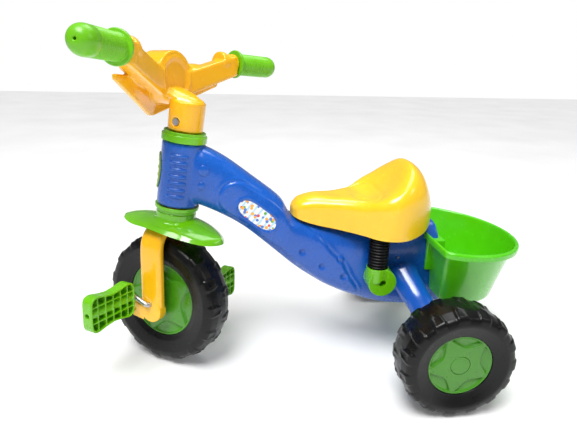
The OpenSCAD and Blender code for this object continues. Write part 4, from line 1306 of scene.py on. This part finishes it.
@dataclass
class Pedal:
    """Hourglass pedal with a thin wall, a grid of ribs and a tube for its spindle."""

    half: Point = (9.8, 45.6, 31.5)
    wall: float = 3.0
    waist: float = 7.5
    tube: float = 7.4
    shift: float = 0.3

    def outline(self, inset: float, low: float, high: float) -> Shape:
        """Closed hourglass between two places along X, drawn in by an inset."""
        length, tall = self.half[1] - inset, self.half[2] - inset

        def place(u: float, v: float) -> Point:
            """Point of the block; u runs from the middle of one face to that of the other, v around."""
            turn = v * math.tau
            share = min(u / 0.4, (1 - u) / 0.4, 1.0)
            y = length * bulge(math.cos(turn), 5.5)
            waist = self.waist * 0.5 * (1 + math.cos(math.pi * y / length))
            z = (tall - waist) * bulge(math.sin(turn), 5.5)
            x = low if u <= 0.4 else high if u >= 0.6 else low + (high - low) * (u - 0.4) / 0.2
            return x, y * share, z * share

        return Shape().sheet(place, 20, 120).outward()

    def build(self, shop: Workshop) -> None:
        """Makes both pedals."""
        depth, length, tall = self.half
        for side in Side:
            shape = self.outline(0.0, -depth, depth)
            shape.cut(self.outline(self.wall, -depth - 1, depth - 2.6))
            for y in (-31, -15.5, 0, 15.5, 31):
                top = tall - self.waist * 0.5 * (1 + math.cos(math.pi * y / length)) - 1
                shape.block((-depth + 1.2, y - 1.1, -top), (depth - 1, y + 1.1, top))
            for z in (-13, 13):
                shape.block((-depth + 1.2, -length + 2, z - 1.1), (depth - 1, length - 2, z + 1.1))
            shape.rod((0, -length + 1, 0), (0, length - 1, 0), self.tube, segments=48)
            shape.outward().fuse(0.85, 2)
            shape.cut(Shape().rod((0, -60, 0), (0, 60, 0), 4.2, segments=32))
            name = f"{side.word}_pedal"
            m = shop.front.copy()
            centre = Vector(shop.joints[f"{name}_spin"]["pos_m"])
            m.translation = centre + m.col[1].to_3d() * self.shift * side.value
            shop.piece(shape, f"{name}_moulding", "pedal_green", name, m, [name])


# ---------------------------------------------------------------- studio


def set_studio() -> None:
    """Floor, light and camera."""
    scene = bpy.context.scene
    shape = Shape()
    bmesh.ops.create_grid(shape.bm, x_segments=60, y_segments=60, size=6.0)
    mesh = bpy.data.meshes.new("floor")
    shape.bm.to_mesh(mesh)
    shape.bm.free()
    floor = bpy.data.objects.new("floor", mesh)
    scene.collection.objects.link(floor)
    g = Graph("floor_pale")
    grain = g.noise(3.0, 4.0)
    mesh.materials.append(g.close({
        "Base Color": g.blend(g.ramp(grain, 0.3, 0.7, 0.0, 1.0), (0.86, 0.86, 0.86), (0.9, 0.9, 0.9)),
        "Roughness": g.ramp(grain, 0.3, 0.7, 0.5, 0.6), "Emission Color": (1.0, 1.0, 1.0, 1.0),
        "Emission Strength": 0.1,
    }))
    world = bpy.data.worlds.new("studio")
    world.use_nodes = True
    tree = world.node_tree
    tree.nodes["Background"].inputs["Color"].default_value = (1.0, 1.0, 1.0, 1.0)
    seen = tree.nodes.new("ShaderNodeLightPath")
    level = tree.nodes.new("ShaderNodeMapRange")
    level.inputs["To Min"].default_value, level.inputs["To Max"].default_value = 0.22, 1.0
    tree.links.new(seen.outputs["Is Camera Ray"], level.inputs["Value"])
    tree.links.new(level.outputs["Result"], tree.nodes["Background"].inputs["Strength"])
    scene.world = world
    for name, place, size, power in (
        ("key", (0.6, 1.1, 2.2), 0.8, 20.0), ("fill", (-1.9, 1.0, 1.6), 0.8, 6.0),
        ("top", (-0.3, -0.6, 2.4), 1.2, 20.0),
    ):
        light = bpy.data.lights.new(name, "AREA")
        light.energy, light.size = power, size
        lamp = bpy.data.objects.new(name, light)
        lamp.location = place
        lamp.rotation_euler = (Vector((0, 0, 0.25)) - Vector(place)).to_track_quat("-Z", "Y").to_euler()
        scene.collection.objects.link(lamp)
    sun = bpy.data.lights.new("sun", "SUN")
    sun.energy, sun.angle = 2.4, math.radians(35)
    lamp = bpy.data.objects.new("sun", sun)
    lamp.rotation_euler = Vector((-0.25, -0.35, -1.0)).to_track_quat("-Z", "Y").to_euler()
    scene.collection.objects.link(lamp)
    data = bpy.data.cameras.new("camera")
    data.lens, data.sensor_width = 30.467, 36.0
    camera = bpy.data.objects.new("camera", data)
    forward = Vector((-0.1135, -0.9425, -0.3144)).normalized()
    right = forward.cross(Vector((0, 0, 1))).normalized()
    up = right.cross(forward)
    roll = 0.02445
    x = right * math.cos(roll) + up * math.sin(roll)
    y = up * math.cos(roll) - right * math.sin(roll)
    m = Matrix((x, y, -forward)).transposed().to_4x4()
    m.translation = (0.13748, 0.7964, 0.5229)
    camera.matrix_world = m
    scene.collection.objects.link(camera)
    scene.camera = camera
    scene.view_settings.view_transform = "Standard"


def main() -> None:
    """Builds the tricycle around its frame."""
    logging.basicConfig(level=logging.INFO, format="%(name)s %(message)s")
    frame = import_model()
    shop = Workshop(frame)
    beam = Beam()
    beam.build(shop)
    Legs().build(shop)
    Saddle().build(shop)
    Bin().build(shop, beam)
    Struts().build(shop)
    Steering().build(shop)
    Pedal().build(shop)
    Wheels(Wheel(114.0, 60.0, 66.0), Wheel(90.0, 70.0, 50.0)).build(shop)
    shop.keep(
        "fastener_steel", "body_screws", "rear_spacers", "rear_push_nuts", "seat_screws", "basket_screws",
        "clamp_screws", "stem_bolt", "stem_nut", "pedal_washers", "pedal_push_nuts",
    )
    shop.keep("axle_steel", "rear_axle", "crank_axle")
    set_studio()


if __name__ == "__main__":
    main()
